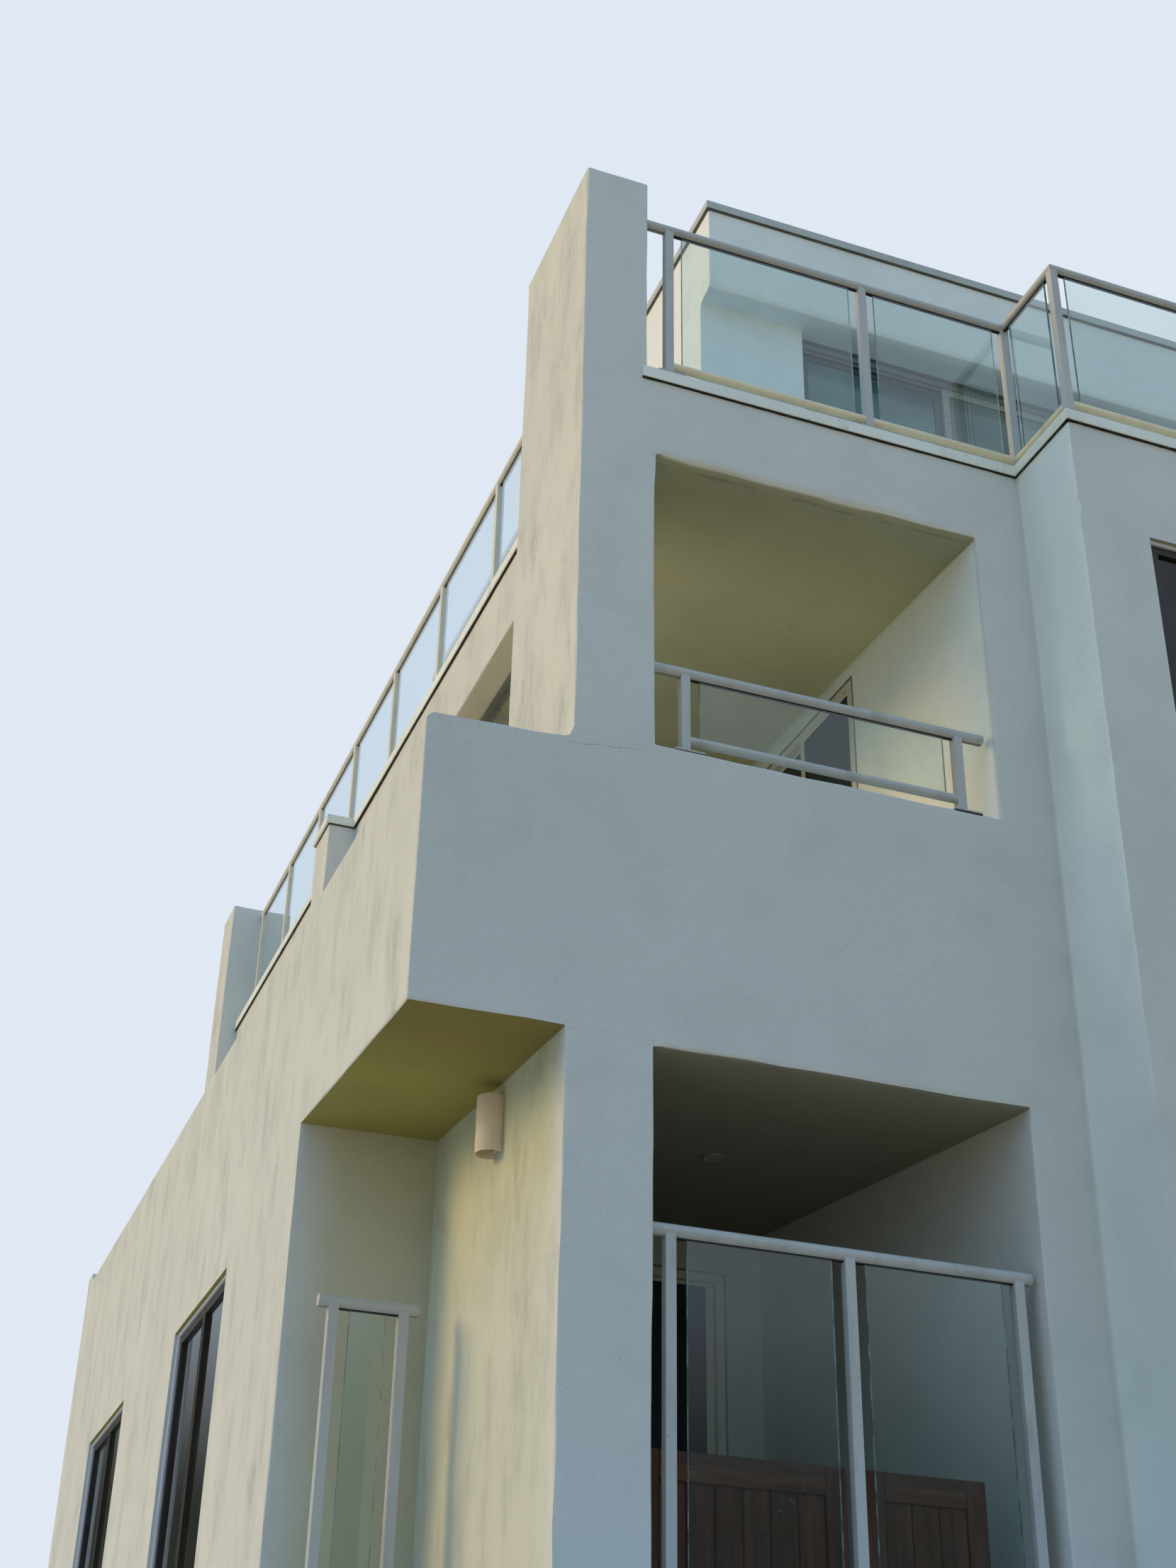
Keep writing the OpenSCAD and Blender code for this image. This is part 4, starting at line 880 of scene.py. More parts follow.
# Guards: round painted tubes on square posts, welded to base plates that are bolted down over a dark
# pad. The top rail is slotted underneath for the glass, and mitred where it turns round the bay.
rail_paint = white_paint_finish("rail_paint", paint_colour(185, 186, 182), 0.35, 0.38)
bolt_metal = white_paint_finish("bolt_paint", paint_colour(150, 147, 142), 1.0, 0.4)
RAIL_R, LOW_R, POST = 0.027, 0.022, 0.045


def tube_profile(radius, slot, depth, top=False):
    """A circle of 24 steps, counter-clockwise, with a slot cut into its underside, or into its top."""
    open_angle = np.arcsin(slot / 2 / radius)
    angles = np.linspace(open_angle, 2 * np.pi - open_angle, 24) - np.pi / 2
    ring = np.stack([np.cos(angles), np.sin(angles)], 1) * radius
    ring = np.concatenate([ring, [(-slot / 2, depth - radius), (slot / 2, depth - radius)]])
    return ring * (1, -1) if top else ring


top_tube = tube_profile(RAIL_R, 0.018, 0.012)
low_tube = tube_profile(LOW_R, 0.016, 0.006, top=True)


def circle(count, start=0.0):
    """Points on a circle of radius 1, evenly spaced."""
    turn = np.linspace(0, 2 * np.pi, count, endpoint=False) + start
    return np.stack([np.cos(turn), np.sin(turn)], 1)


def rail_run(path, tip_start=False, tip_end=False):
    """A top rail along a level path; a tip gets a cap with a 3 mm rounded rim."""
    path = np.asarray(path, float)
    parts = [sweep(top_tube, path)]
    for tipped, end, inner in ((tip_start, path[0], path[1]), (tip_end, path[-1], path[-2])):
        if tipped:
            way = (end - inner) / np.linalg.norm(end - inner)
            ring = circle(24) @ np.array([np.cross(way, (0, 0, 1)), (0, 0, 1)])
            rims = ((0.0265, -0.004), (0.0268, 0.0), (0.0262, 0.002), (0.0235, 0.004))
            parts.append(loft(np.stack([end + way * step + ring * size for size, step in rims])))
    return parts


def repaint(parts, chosen):
    """The parts with their first paint changed to the chosen one."""
    return [(points, faces, paint or chosen) for points, faces, paint in parts]


def stacked(ring, centre, levels, paint=0):
    """A loft through level copies of a ring of (x, y) pairs, one for each (size, height) in levels."""
    return loft(np.stack([np.column_stack([ring * size + centre, np.full(len(ring), height)])
                          for size, height in levels]), paint=paint)


def post_parts(x, y, z_seat, z_rail, along, corner=False, lip=0.025):
    """A square post with rounded edges, its weld, its plate, the pad under the plate and two bolts.
    along is 0 where the rail runs along X and 1 where it runs along Y. The plate stands out by lip."""
    edge_r = 0.004
    unit = circle(20, np.pi / 20)
    square = np.sign(unit) * (POST / 2 - edge_r) + unit * edge_r
    plate_top = z_seat + 0.012
    centre = np.array([x, y])
    reach = np.array([0.025 if corner else 0.050, lip])[[along, 1 - along]] + POST / 2
    low, high = centre - reach, centre + reach
    levels = ((1.16, plate_top - 0.002), (1.14, plate_top), (1.0, plate_top + 0.006), (1.0, z_rail))
    parts = [stacked(square, centre, levels), bar((*low, z_seat + 0.003), (*high, plate_top), 0.002),
             bar((*(low + 0.002), z_seat - 0.006), (*(high - 0.002), z_seat + 0.004), 0.001, 1)]
    bolt_way = np.array((0.56, 0.56) if corner else (1 - along, along))
    bolt_out = POST / 2 + (0.022 if corner else 0.027)
    bolt = ((0.011, -0.001), (0.011, 0.002), (0.0075, 0.0022), (0.0075, 0.008), (0.006, 0.0092))
    levels = [(size, plate_top + rise) for size, rise in bolt]
    return parts + [stacked(circle(6), centre + bolt_way * side * bolt_out, levels, 2) for side in (-1, 1)]


def spaced(first, last, pitch):
    """Even places from first to last, no more than pitch apart."""
    return np.linspace(first, last, max(1, int(np.ceil(abs(last - first) / pitch))) + 1)


roof_seat, roof_low_z, roof_rail_z = coping_z + coping_top, 6.042, 6.947
front_rail_y, bay_rail_y, back_rail_y, bay_rail_x, side_rail_x = -4.265, -4.755, 4.755, 1.67, 3.765
front_post_x = np.array([bay_rail_x, 2.53, 3.626])
bay_post_x = spaced(-bay_rail_x, bay_rail_x, 1.18)
steps = np.arange(8)[::-1]
side_post_y = 4.285 - steps * 0.97 - steps * (steps - 1) / 2 * 0.03
back_post_x = spaced(-3.387, 3.387, 1.18)
bay_path = [(-pylon_in, front_rail_y), (-bay_rail_x, front_rail_y), (-bay_rail_x, bay_rail_y),
            (bay_rail_x, bay_rail_y), (bay_rail_x, front_rail_y), (pylon_in, front_rail_y)]
top_parts = rail_run([(*p, roof_rail_z) for p in bay_path])
top_parts += rail_run([(side * corner_in, back_rail_y, roof_rail_z) for side in (-1, 1)])
runs = [("x", bay_post_x, bay_rail_y), ("x", back_post_x, back_rail_y)]
for side in (-1, 1):
    side_path = [(side * side_rail_x, y, roof_rail_z) for y in (pylon_back, corner_y)]
    top_parts += repaint(rail_run(side_path), 3)
    runs += [("x", side * front_post_x, front_rail_y), ("y", side_post_y, side * side_rail_x),
             ("y", np.array([bay_rail_y, front_rail_y]), side * bay_rail_x)]


def between(places, gap):
    """The stretches between neighbouring posts, each shortened by gap at both ends."""
    places = np.sort(places)
    return np.stack([places[:-1] + gap, places[1:] - gap], 1)


def level_line(kind, start, stop, fixed, z):
    """Two points of a level run along X or along Y."""
    return [(start, fixed, z), (stop, fixed, z)] if kind == "x" else [(fixed, start, z), (fixed, stop, z)]


def rail_gasket(kind, start, stop, fixed, rail_z):
    """The black strip that grips a pane's head. It fills the rail's slot and shows 4 mm below it."""
    first, last = np.array(level_line(kind, start, stop, fixed, rail_z - RAIL_R))
    half = np.array((0, 0.0085, 0) if kind == "x" else (0.0085, 0, 0))
    return bar(first - half - (0, 0, 0.004), last + half + (0, 0, 0.011), 0.001, 1)


post_gap = POST / 2 - 0.0005
low_parts, roof_post_parts = [], []
for kind, places, fixed in runs:
    for start, stop in between(places, post_gap):
        low_parts.append(sweep(low_tube, level_line(kind, start, stop, fixed, roof_low_z), paint=4))
        top_parts.append(rail_gasket(kind, start, stop, fixed, roof_rail_z))
for places, y in ((front_post_x, front_rail_y), (-front_post_x, front_rail_y), (bay_post_x, bay_rail_y)):
    for x in places:
        at_corner = abs(abs(x) - bay_rail_x) < 0.001
        roof_post_parts += post_parts(x, y, roof_seat, roof_rail_z, 0, at_corner, 0.037)
for x in back_post_x:
    roof_post_parts += post_parts(x, back_rail_y, roof_seat, roof_rail_z, 0)
for y in side_post_y:
    for side in (-1, 1):
        roof_post_parts += repaint(post_parts(side * side_rail_x, y, roof_seat, roof_rail_z, 1), 3)
# Painted sunlight: the roof's side rails and posts take a paler, warmer paint as if sunlit.
side_rail_paint_painted_sunlight = white_paint_finish("rail_paint_painted_sunlight", paint_colour(218, 213, 198), 0.35, 0.5)
# Painted light: the roof's low rails take a warm pale paint that stands for bounce light from the roof below.
low_rail_paint_painted_light = white_paint_finish("low_rail_painted_light", paint_colour(240, 224, 188), 0.35, 0.5)
guard_finishes = [rail_paint, sealant, bolt_metal, side_rail_paint_painted_sunlight, low_rail_paint_painted_light]
put_parts("roof_guard_top_rails", top_parts, guard_finishes, ["roof_top_rails"])
put_parts("roof_guard_low_rails", low_parts, guard_finishes, ["roof_low_rails"])
put_parts("roof_guard_posts", roof_post_parts, guard_finishes, ["roof_posts"])

# Upper loggia guard: the same tubes on the sill. The rail runs into the pillar and stops, capped,
# just short of the bay's side.
loggia_low_z, loggia_rail_z, guard_y, guard_end = 3.93, 4.278, -4.24, 3.715
loggia_post_x = np.array([2.16, 3.54])
top_parts, low_parts, guard_posts = [], [], []
for side in (-1, 1):
    top_parts += rail_run([(side * x, guard_y, loggia_rail_z) for x in (2.024, guard_end)], tip_start=True)
    for start, stop in between(side * loggia_post_x, post_gap):
        low_parts.append(sweep(low_tube, level_line("x", start, stop, guard_y, loggia_low_z)))
        top_parts.append(rail_gasket("x", start, stop, guard_y, loggia_rail_z))
    for x in side * loggia_post_x:
        guard_posts += post_parts(x, guard_y, sill_z + 0.003, loggia_rail_z, 0, lip=0.047)
put_parts("loggia_guard_top_rails", top_parts, guard_finishes, ["loggia_top_rails"])
put_parts("loggia_guard_low_rails", low_parts, guard_finishes, ["loggia_low_rails"])
put_parts("loggia_guard_posts", guard_posts, guard_finishes, ["loggia_posts"])

# Wind screens: tall glass between posts in the lower loggias, and a short screen across each porch.
# Their posts stand on the floor and have no low rail.
screens = ((spaced(2.085, 3.615, 0.86), guard_y, 1.708, (2.024, guard_end), False),
           (np.array([4.3025, 4.6075]), -2.97, 1.643, (4.239, 4.671), True))
top_parts, guard_posts = [], []
for side in (-1, 1):
    for posts, y, z, ends, tip_end in screens:
        top_parts += rail_run([(side * x, y, z) for x in ends], True, tip_end)
        top_parts += [rail_gasket("x", start, stop, y, z) for start, stop in between(side * posts, post_gap)]
        for x in side * posts:
            guard_posts += post_parts(x, y, ground_z, z, 0)
put_parts("wind_screen_rails", top_parts, guard_finishes, ["screen_rails"])
put_parts("wind_screen_posts", guard_posts, guard_finishes, ["screen_posts"])


# Guard glass: 12 mm panes with ground edges, faintly green, standing 50 mm clear of the posts. Their
# heads go into the rail's slot. A film of salt and dust covers them, thicker higher up.
def clear_glass_finish(name):
    """Clear glass without bending: what is behind is tinted, the surface mirrors more at a low angle,
    and a thin uneven film of salt and dust covers it, more of it higher up."""
    material, place, (_, _, z) = new_finish(name)
    film = noise(place, 2.2, 4.0, 0.6).ramp(0.35, 0.80) * 0.05
    film = film + noise(place, 40.0, 3.0, 0.7).ramp(0.55, 0.80) * 0.05
    film = (film + 0.015) * (z.ramp(0.8, 3.0) * 0.8 + 0.2)
    clear = place.node("BsdfTransparent", None, {"Color": (0.89, 0.945, 0.935, 1)})
    shine = place.node("BsdfGlossy", None, {"Color": (0.95, 0.98, 1.0, 1), "Roughness": 0.015})
    dust = place.node("BsdfDiffuse", None, {"Color": (0.72, 0.76, 0.74, 1), "Roughness": 0.5})
    outside = 1 - place.node("NewGeometry", None, None, "Backfacing")
    mirror = (place.node("Fresnel", None, {"IOR": 1.46}) * outside * 1.9).least(1.0)
    pane = place.node("MixShader", None, {0: mirror, 1: clear, 2: shine})
    end_nodes(place.node("MixShader", None, {0: film, 1: pane, 2: dust}), "Material")
    return material


def glass_edge_finish(name):
    """The ground edge of a pane: deep green, lighter where it catches the light."""
    material, place, _ = new_finish(name)
    vary = noise(place, 12.0, 3.0)
    colour = vary.ramp(0.35, 0.7).blend((0.07, 0.15, 0.13, 1), (0.26, 0.40, 0.36, 1))
    return coat(material, colour, 0.20 + vary * 0.1, vary * 0.0002, 0.5)


def pane_parts(kind, start, stop, fixed, z_low, z_high):
    """One pane, 12 mm thick, with 1.5 mm bevelled arrises. Its two faces are clear and its edges green."""
    thin = 1 if kind == "x" else 0
    low, high = np.array(level_line(kind, start, stop, fixed, z_low))
    low[thin] -= 0.006
    high[thin] += 0.006
    high[2] = z_high
    points, faces, _ = bar(low, high, 0.0015)
    clear = [np.ptp(points[face][:, thin]) < 1e-6 and len(face) == 4 and
             np.ptp(points[face], axis=0).max() > 0.02 for face in faces]
    return points, faces, [0 if is_clear else 1 for is_clear in clear]


pane_finishes = [clear_glass_finish("guard_glass"), glass_edge_finish("glass_edge")]
low_groove = LOW_R - 0.005
roof_lines = [(*run, roof_low_z + low_groove, roof_rail_z) for run in runs]
loggia_lines = [("x", side * loggia_post_x, guard_y, loggia_low_z + low_groove, loggia_rail_z)
                for side in (-1, 1)]
screen_lines = [("x", side * posts, y, 0.24, z) for side in (-1, 1) for posts, y, z, _, _ in screens]
for name, node, lines in (("roof_guard_glass", "roof_glass", roof_lines),
                          ("loggia_guard_glass", "loggia_glass", loggia_lines),
                          ("wind_screen_glass", "screen_glass", screen_lines)):
    panes = [pane_parts(kind, *ends, fixed, foot, rail_z - RAIL_R + 0.010)
             for kind, places, fixed, foot, rail_z in lines for ends in between(places, POST / 2 + 0.05)]
    put_parts(name, panes, pane_finishes, [node], 25)


# Windows: thin white outer frames, 20 mm behind the wall's face, hold dark bronze sashes and dark glass
# in rubber gaskets. Frames are mitred, and a bar stands between each pair of lights.
def on_wall(parts, axis, face, inward):
    """Places parts drawn as (along, up, depth) on a wall. The wall's face crosses axis at face, and
    inward is the sign of the way into the building."""
    placed = []
    for points, faces, paint in parts:
        along, up, depth = points.T
        deep = face + inward * depth
        order = [along, deep, up] if axis == "y" else [deep, along, up]
        placed.append((np.stack(order, 1), faces, paint))
    return placed


def frame_ring(profile, left, right, foot, head, paint=0, deeper=0.0):
    """Carries a profile of (inset, depth) pairs round a rectangle with mitred corners: each of its four
    corners moves inwards by the inset, along and up."""
    inset, depth = np.array(profile, float).T
    corners = ((left, foot, 1, 1), (right, foot, -1, 1), (right, head, -1, -1), (left, head, 1, -1))
    rings = [np.stack([along + inset * a, up + inset * b, depth + deeper], 1) for along, up, a, b in corners]
    return loft(np.stack(rings), True, paint)


def lights_of(left, right, count, face):
    """The left and right ends of each clear light between frame faces and bars of width face."""
    width = (right - left - face * (count + 1)) / count
    starts = left + face + np.arange(count) * (width + face)
    return np.stack([starts, starts + width], 1)


def dark_glass_finish(name, tint, haze, smooth=0.04):
    """Glass before a dark room: opaque and mirror-smooth, its nearly black colour a painted shade for the
    room behind, with a faint film of salt. smooth is its roughness where it is clean."""
    material, place, _ = new_finish(name)
    film = noise(place, 3.0, 4.0, 0.6).ramp(0.40, 0.80) * haze
    cloud = noise(place, 1.1, 3.0, 0.5).ramp(0.35, 0.65)
    colour = film.blend(cloud.blend(tint, toned(tint, 0.45)), (0.30, 0.33, 0.34, 1))
    waves = noise(place, 1.7, 2.0) * 0.0015
    return coat(material, colour, smooth + film * 0.4, waves, 0.5, {"IOR": 1.5, "Specular IOR Level": 0.35})


frame_white = white_paint_finish("frame_paint", paint_colour(214, 214, 222), 0.15, 0.35)
sash_bronze = white_paint_finish("sash_bronze", (0.022, 0.018, 0.014, 1), 0.2, 0.4)
gasket_rubber = dark_finish("gasket_rubber", (0.012, 0.012, 0.012, 1), 0.6)
window_dark = dark_glass_finish("window_glass", (0.016, 0.014, 0.011, 1), 0.05)
outer_frame = [(0, 0), (0.014, 0), (0.016, 0.002), (0.016, 0.030), (0.030, 0.030), (0.030, 0.09), (0, 0.09)]
sash_ring = [(0.016, 0.016), (0.018, 0.014), (0.060, 0.014), (0.062, 0.016), (0.064, 0.036), (0.064, 0.072),
             (0.016, 0.072)]
gasket_ring = [(-0.002, 0.034), (0.005, 0.033), (0.006, 0.058), (-0.002, 0.058)]
frame_parts, panes = [], []
for axis, face, inward, middle, foot, width, lights in windows:
    left, right, head = middle - width / 2, middle + width / 2, foot + window_h
    drawn = [frame_ring(outer_frame, left + 0.001, right - 0.001, foot + 0.001, head - 0.001),
             frame_ring(sash_ring, left, right, foot, head, 1)]
    clear = lights_of(left, right, lights, 0.065)
    for stop, after in zip(clear[:-1, 1], clear[1:, 0]):
        drawn += [bar((stop + 0.001, foot + 0.060, 0.012), (after - 0.001, head - 0.060, 0.074), 0.003, 1),
                  bar((stop + 0.029, foot + 0.062, 0.009), (after - 0.029, head - 0.062, 0.014), 0.0015, 1)]
    drawn += [frame_ring(gasket_ring, *ends, foot + 0.065, head - 0.065, 2) for ends in clear]
    drawn_panes = [bar((start - 0.002, foot + 0.063, 0.033), (stop + 0.002, head - 0.063, 0.057), 0.002)
                   for start, stop in clear]
    frame_parts += on_wall(drawn, axis, face + inward * 0.02, inward)
    panes += on_wall(drawn_panes, axis, face + inward * 0.02, inward)
window_finishes = [frame_white, sash_bronze, gasket_rubber]
put_parts("window_frames_dressed", frame_parts, window_finishes, ["window_frames"])
put_parts("window_panes", panes, [window_dark], ["window_glass"])


# Sliding doors: two leaves in a cream painted frame, one before the other, with blue-grey glass. A
# dirty line of old sealant runs along the frame, and a small pull stands by one jamb of each door.
slider_frame = [(0, 0.004), (0.046, 0.004), (0.048, 0.006), (0.048, 0.092), (0, 0.095)]
seal_ring = [(-0.006, -0.0015), (0.004, -0.0025), (0.006, 0.006), (-0.004, 0.006)]
leaf_ring = [(0, 0), (0.040, 0), (0.042, 0.002), (0.042, 0.030), (0, 0.030)]
leaf_gasket = [(0.040, 0.006), (0.046, 0.005), (0.047, 0.024), (0.040, 0.024)]
frame_parts, panes = [], []
for axis, face, inward, left, right, foot in (
        ("x", -loggia_in, 1, *slider_y, upper_z),
        ("y", loggia_back, 1, -loggia_mid - slider_half, -loggia_mid + slider_half, ground_z),
        ("x", loggia_in, -1, *slider_y, upper_z),
        ("y", loggia_back, 1, loggia_mid - slider_half, loggia_mid + slider_half, ground_z)):
    head, middle, inner = foot + slider_h, (left + right) / 2, left + 0.047
    drawn = [frame_ring(slider_frame, left, right, foot, head),
             frame_ring(seal_ring, left, right, foot, head, 4)]
    drawn += [bar((inner, foot + 0.046, at), (right - 0.047, foot + 0.054, at + 0.004), 0.001, 3)
              for at in (0.026, 0.060)]
    drawn_panes = []
    for start, stop, deep in ((inner, middle + 0.021, 0.014), (middle - 0.021, right - 0.047, 0.048)):
        inside = (start, stop, foot + 0.050, head - 0.022)
        drawn += [frame_ring(leaf_ring, *inside, 0, deep), frame_ring(leaf_gasket, *inside, 2, deep)]
        drawn_panes.append(bar((start + 0.038, foot + 0.088, deep + 0.009),
                               (stop - 0.038, head - 0.060, deep + 0.021), 0.002))
    for low, high, front, back in ((0.98, 1.00, 0.002, 0.016), (1.16, 1.18, 0.002, 0.016),
                                   (0.97, 1.19, -0.004, 0.003)):
        drawn.append(bar((inner + 0.012, foot + low, front), (inner + 0.028, foot + high, back), 0.002, 3))
    frame_parts += on_wall(drawn, axis, face, inward)
    panes += on_wall(drawn_panes, axis, face, inward)
slider_paint = white_paint_finish("slider_paint", paint_colour(228, 224, 206), 0.9, 0.4)
slider_dark = dark_glass_finish("slider_glass", (0.026, 0.036, 0.044, 1), 0.10, 0.28)
steel = white_paint_finish("worn_steel", (0.30, 0.30, 0.29, 1), 0.5, 0.35)
dirty_bead = white_paint_finish("dirty_bead", (0.26, 0.25, 0.20, 1), 2.5, 0.6)
slider_finishes = [slider_paint, sash_bronze, gasket_rubber, steel, dirty_bead]
put_parts("slider_frames_dressed", frame_parts, slider_finishes, ["slider_frames"])
put_parts("slider_panes", panes, [slider_dark], ["slider_glass"])


# Timber: stained boards in a frame, with V-joints between them, grey and flaking in patches.
# The entrance door at the back is made the same way.
def timber_finish(name, upright):
    """Stained timber: dark brown, with grain drawn out along the boards, paler worn fibres and flakes of
    old paint. The grain runs along Z where upright is true, and along X otherwise."""
    material, place, _ = new_finish(name)
    way = -1 if upright else 1
    stretch = (1.6, 24.0, 24.0)[::way]
    grain = noise(place, 1.0, 6.0, 0.65, stretch)
    fine = noise(place, 5.0, 4.0, 0.6, stretch)
    tone = noise(place, 1.0, 2.0, 0.5, (0.5, 9.0, 9.0)[::way])
    flake = noise(place, 22.0, 5.0, 0.7).ramp(0.63, 0.68) * noise(place, 3.0, 2.0).ramp(0.48, 0.60)
    colour = grain.ramp(0.30, 0.70).blend(paint_colour(104, 60, 36), paint_colour(60, 33, 21))
    colour = (tone.ramp(0.35, 0.65) * 0.5).blend(colour, paint_colour(84, 42, 25))
    colour = (fine.ramp(0.60, 0.75) * 0.4).blend(colour, paint_colour(112, 90, 74))
    colour = (flake * 0.75).blend(colour, paint_colour(150, 132, 116))
    return coat(material, colour, 0.62 + fine * 0.25, grain * 0.0010 + fine * 0.0005 + flake * 0.0004, 0.9)


def boarded(left, right, foot, head, thick, board_w=0.115):
    """A framed panel drawn as (along, up, depth): two stiles, two rails and upright boards set back
    between them, with a gap of 3 mm at each joint."""
    rail_h = min(0.11, (head - foot) / 3)
    stile_w = 0.085
    inner, clear = left + stile_w, right - left - 2 * stile_w
    parts = [bar((start, foot, 0), (start + stile_w, head, thick), 0.004)
             for start in (left, right - stile_w)]
    parts += [bar((inner + 0.001, low, 0.001), (inner + clear - 0.001, low + rail_h, thick - 0.001), 0.004, 1)
              for low in (foot, head - rail_h)]
    count = max(1, int(round(clear / board_w)))
    for start in inner + np.arange(count) * clear / count:
        parts.append(bar((start + 0.0015, foot + rail_h - 0.004, thick * 0.30),
                         (start + clear / count - 0.0015, head - rail_h + 0.004, thick * 0.75), 0.005))
    return parts


timber_finishes = [timber_finish("timber_boards", True), timber_finish("timber_rails", False), steel]
timber_parts = []
for side in (-1, 1):
    for ends in ((2.20, 2.73), (2.81, 3.67)):
        left, right = sorted(side * end for end in ends)
        timber_parts += on_wall(boarded(left, right, ground_z, 0.93, 0.04), "y", -4.07, 1)
door_parts = boarded(-0.483, 0.483, 0.184, 2.211, 0.045, 0.13)
door_parts += [bar((-0.43, 1.14, -0.020), (-0.40, 1.34, -0.004), 0.003, 2)]
door_parts += [bar((-0.43, foot, -0.014), (-0.40, foot + 0.02, 0.002), 0.002, 2) for foot in (1.15, 1.31)]
door_parts = on_wall(door_parts, "y", 4.7575, -1)
put_parts("timber_panels_boarded", timber_parts, timber_finishes[:2], ["timber_panels"])
put_parts("entrance_door_boarded", door_parts, timber_finishes, ["entrance_door"])
jamb = [(0, 0.02), (0.062, 0.02), (0.065, 0.023), (0.065, 0.065), (0.052, 0.067), (0.052, 0.11), (0, 0.11)]
inset, depth = np.array(jamb).T
jamb_rings = [np.stack([along + inset * a, up + inset * b, depth], 1) for along, up, a, b in (
    (-entrance_half, ground_z, 1, 0), (-entrance_half, entrance_head, 1, -1),
    (entrance_half, entrance_head, -1, -1), (entrance_half, ground_z, -1, 0))]
entrance_parts = on_wall([loft(np.stack(jamb_rings))], "y", back_y, -1)
put_parts("entrance_frame_dressed", entrance_parts, [frame_white], ["entrance_frame"])


# Penthouse doors: four dark metal leaves on a weathered header track, with dark reflective glass whose
# blue-green tone is a painted reflection of the sky. The middle two are paler, as if curtained.
case_ring = [(0, 0.060), (0.030, 0.060), (0.032, 0.062), (0.032, 0.150), (0, 0.150)]
pent_leaf = [(0, 0), (0.046, 0), (0.048, 0.002), (0.048, 0.026), (0, 0.026)]
pent_gasket = np.array(leaf_gasket) + (0.006, 0)
left, right, foot, head = -door_x, door_x, pent_foot, band_z
drawn = [frame_ring(case_ring, left, right, foot, head),
         bar((left + 0.03, head - 0.065, 0.062), (right - 0.03, head - 0.030, 0.148), 0.003, 4)]
for at in (0.085, 0.120):
    drawn += [bar((left + 0.032, head - 0.080, at), (right - 0.032, head - 0.064, at + 0.010), 0.002, 4),
              bar((left + 0.032, foot + 0.030, at), (right - 0.032, foot + 0.040, at + 0.006), 0.002, 1)]
drawn_panes = []
for number, (start, stop) in enumerate(lights_of(left, right, 4, 0.065)):
    deep = 0.078 if number % 2 else 0.108
    inside = (start - 0.032, stop + 0.032, foot + 0.036, head - 0.066)
    pale = 0 < number < 3
    drawn += [frame_ring(pent_leaf, *inside, 3 if pale else 0, deep),
              frame_ring(pent_gasket, *inside, 2, deep)]
    drawn_panes.append(bar((start + 0.012, foot + 0.080, deep + 0.007),
                           (stop - 0.012, head - 0.110, deep + 0.019), 0.002, 1 if pale else 0))
door_metal = white_paint_finish("door_metal", (0.085, 0.110, 0.115, 1), 1.0, 0.45)
pale_metal = white_paint_finish("pale_door_metal", (0.36, 0.37, 0.30, 1), 1.0, 0.45)
worn_header = white_paint_finish("worn_header", (0.20, 0.235, 0.235, 1), 2.4, 0.6)
door_finishes = [door_metal, steel, gasket_rubber, pale_metal, worn_header]
# Painted reflection: the outer leaves' glass is blue-green as if it mirrored the sky.
pent_glasses = [dark_glass_finish("penthouse_glass_painted_sky", (0.125, 0.245, 0.245, 1), 0.15),
                dark_glass_finish("curtained_glass", (0.20, 0.235, 0.21, 1), 0.15)]
put_parts("penthouse_doors", on_wall(drawn, "y", pent_y, 1), door_finishes,
          ["penthouse_door_frames"])
put_parts("penthouse_panes", on_wall(drawn_panes, "y", pent_y, 1), pent_glasses,
          ["penthouse_door_glass"])

# Screen track: an old grooved timber rail under the lintel of each side opening, its paint worn off.
# One shallow groove runs along its underside.
groove = np.array([(0.0, 0.0), (0.022, 0.0), (0.0235, 0.0015), (0.0235, 0.0075), (0.0465, 0.0075),
                   (0.0465, 0.0015), (0.048, 0.0), (0.070, 0.0), (0.070, 0.012), (0.0, 0.012)])
track_parts = [sweep(groove * (side, 1), [(side * 3.668, y, 5.418) for y in (-3.387, -1.613)])
               for side in (-1, 1)]
track_paint = white_paint_finish("track_paint", (0.30, 0.28, 0.20, 1), 2.0, 0.7)
put_parts("screen_tracks_worn", track_parts, [track_paint], ["screen_tracks"])


# Wall lights: cast half-round shells of beige clay, open above and below, over a lamp holder. Ceiling
# lights: a pressed ring round a frosted lens.
def clay_finish(name):
    """Bisque clay: warm beige, with darker soot at the top edge and fine sand."""
    material, place, (_, _, z) = new_finish(name)
    broad = noise(place, 9.0, 3.0)
    sand = noise(place, 160.0, 2.0, 0.6)
    soot = z.ramp(2.36, 2.46) * 0.35
    colour = broad.ramp(0.35, 0.7).blend(paint_colour(240, 226, 202), paint_colour(228, 210, 184))
    colour = (sand.ramp(0.4, 0.7) * 0.3).blend(colour, paint_colour(205, 186, 160))
    colour = soot.blend(colour, paint_colour(160, 144, 122))
    return coat(material, colour, 0.8 + sand * 0.15, broad * 0.001 + sand * 0.0003)


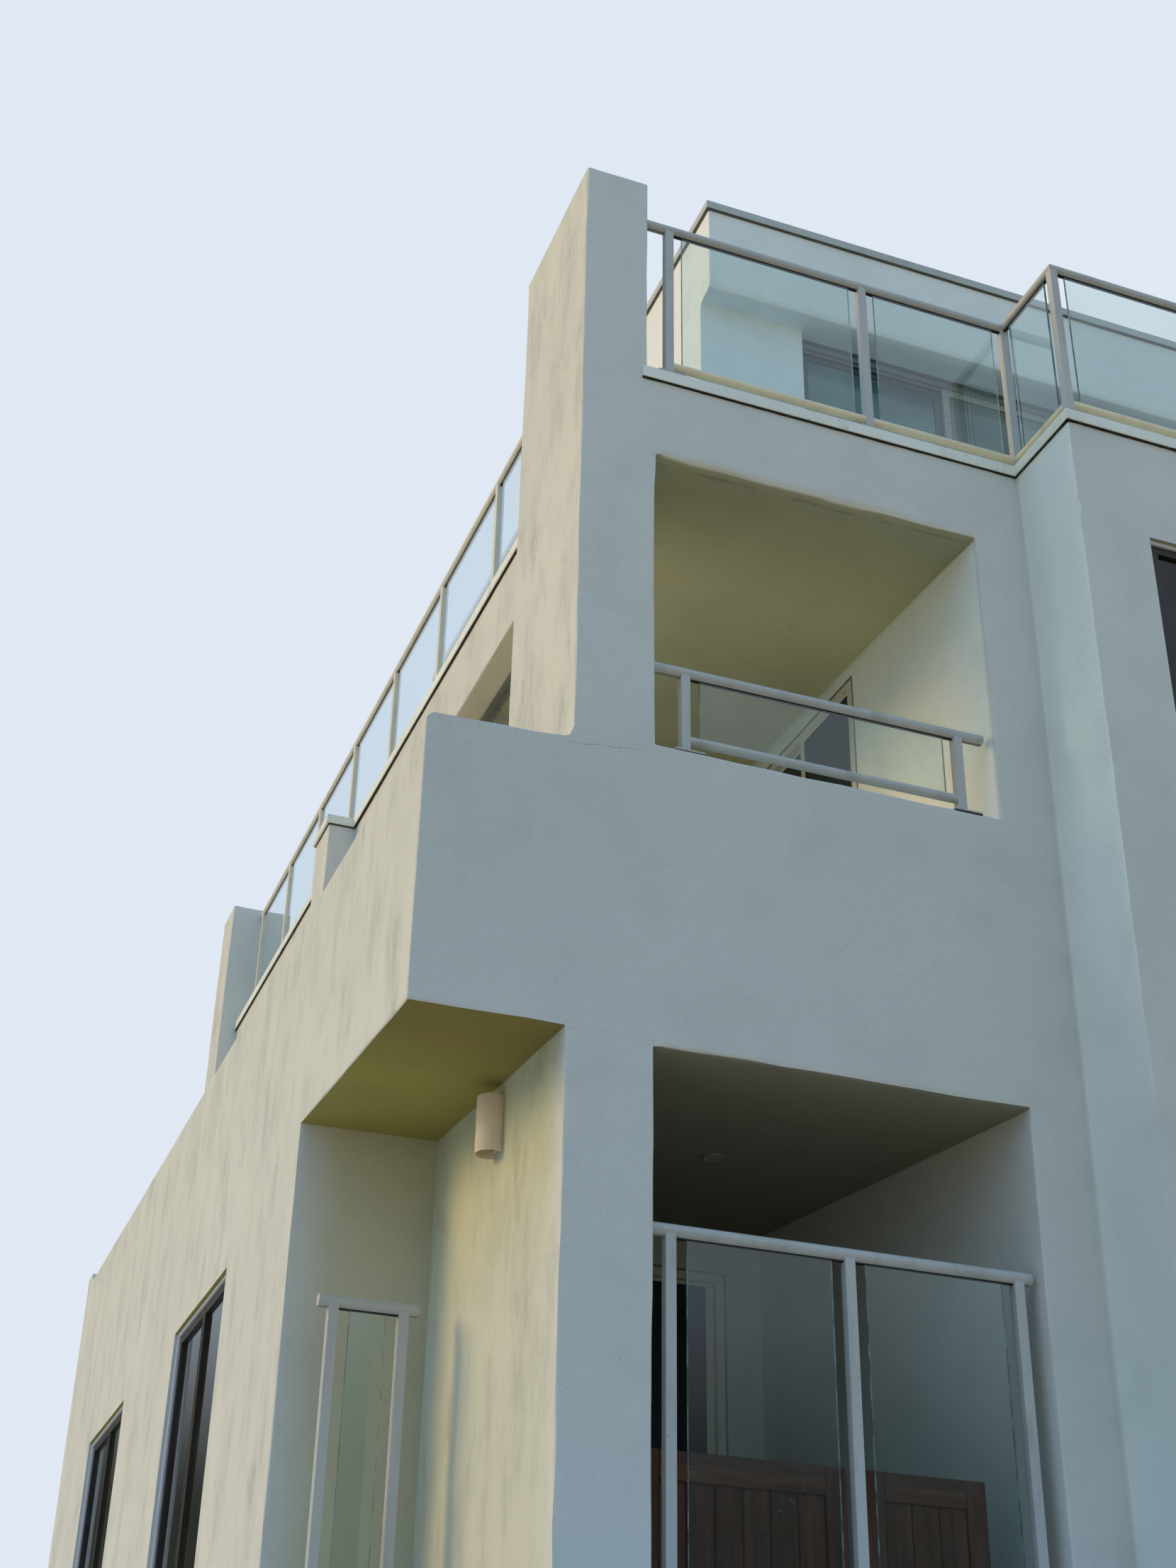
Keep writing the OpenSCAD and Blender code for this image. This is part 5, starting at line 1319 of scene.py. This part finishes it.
def revolve(profile, centre, turns, paint=0):
    """Turns a closed profile of (radius, height) pairs about an upright axis at centre, through the
    given angles; a full turn is joined to its start."""
    out, up = np.array(profile).T
    rings = [np.stack([out * np.cos(t), out * np.sin(t), up], 1) + centre for t in turns]
    return loft(np.stack(rings), abs(turns[-1] - turns[0]) > 5.9, paint)


shell_profile = [(0.0612, 0.002), (0.0632, 0.0), (0.065, 0.002), (0.065, 0.250), (0.0632, 0.252),
                 (0.0612, 0.250)]
holder = [(0.001, 0.06), (0.017, 0.06), (0.019, 0.063), (0.019, 0.10), (0.001, 0.10)]
bulb = [(0.001, 0.10), (0.014, 0.102), (0.024, 0.125), (0.028, 0.145), (0.024, 0.165), (0.012, 0.178),
        (0.001, 0.181)]
trim = [(0.040, 0.004), (0.052, 0.0015), (0.055, 0.004), (0.055, 0.012), (0.040, 0.012)]
dome = [(0.0005, 0.005), (0.020, 0.0055), (0.041, 0.008), (0.041, 0.0118), (0.0005, 0.0118)]
open_turn = np.pi - np.arccos(0.035 / 0.065)
full, wide = [np.linspace(0, 2 * np.pi, count, endpoint=False) for count in (20, 40)]
shell_parts, lens_parts = [], []
for side in (-1, 1):
    turns = np.linspace(-open_turn, open_turn, 33) + (0 if side > 0 else np.pi)
    centre = (side * 4.12, -3.51, 2.18)
    shell_parts += [revolve(shell_profile, centre, turns),
                    bar(*on_side(side, (4.0865, -3.555, 2.20), (4.093, -3.465, 2.43)), 0.002),
                    revolve(holder, centre, full, 1), revolve(bulb, centre, full, 2),
                    bar(*on_side(side, (4.090, -3.518, 2.245), (4.112, -3.502, 2.262)), 0.002, 1)]
    centre = (side * loggia_mid, -2.96, 2.418 + climb(-2.96, lower_rise))
    lens_parts += [revolve(trim, centre, wide, 1), revolve(dome, centre, wide)]
clay = clay_finish("beige_clay")
# Painted shade: the ring and the frosted lens are a dim beige, as if in the ceiling's shade.
lens_paint_painted_shade = white_paint_finish("frosted_lens_painted_shade", (0.34, 0.33, 0.29, 1), 0.0, 0.5)
put_parts("wall_light_shells", shell_parts, [clay, steel, lens_paint_painted_shade], ["wall_lights"])
put_parts("ceiling_light_rings", lens_parts, [lens_paint_painted_shade, lens_paint_painted_shade], ["ceiling_lights"])
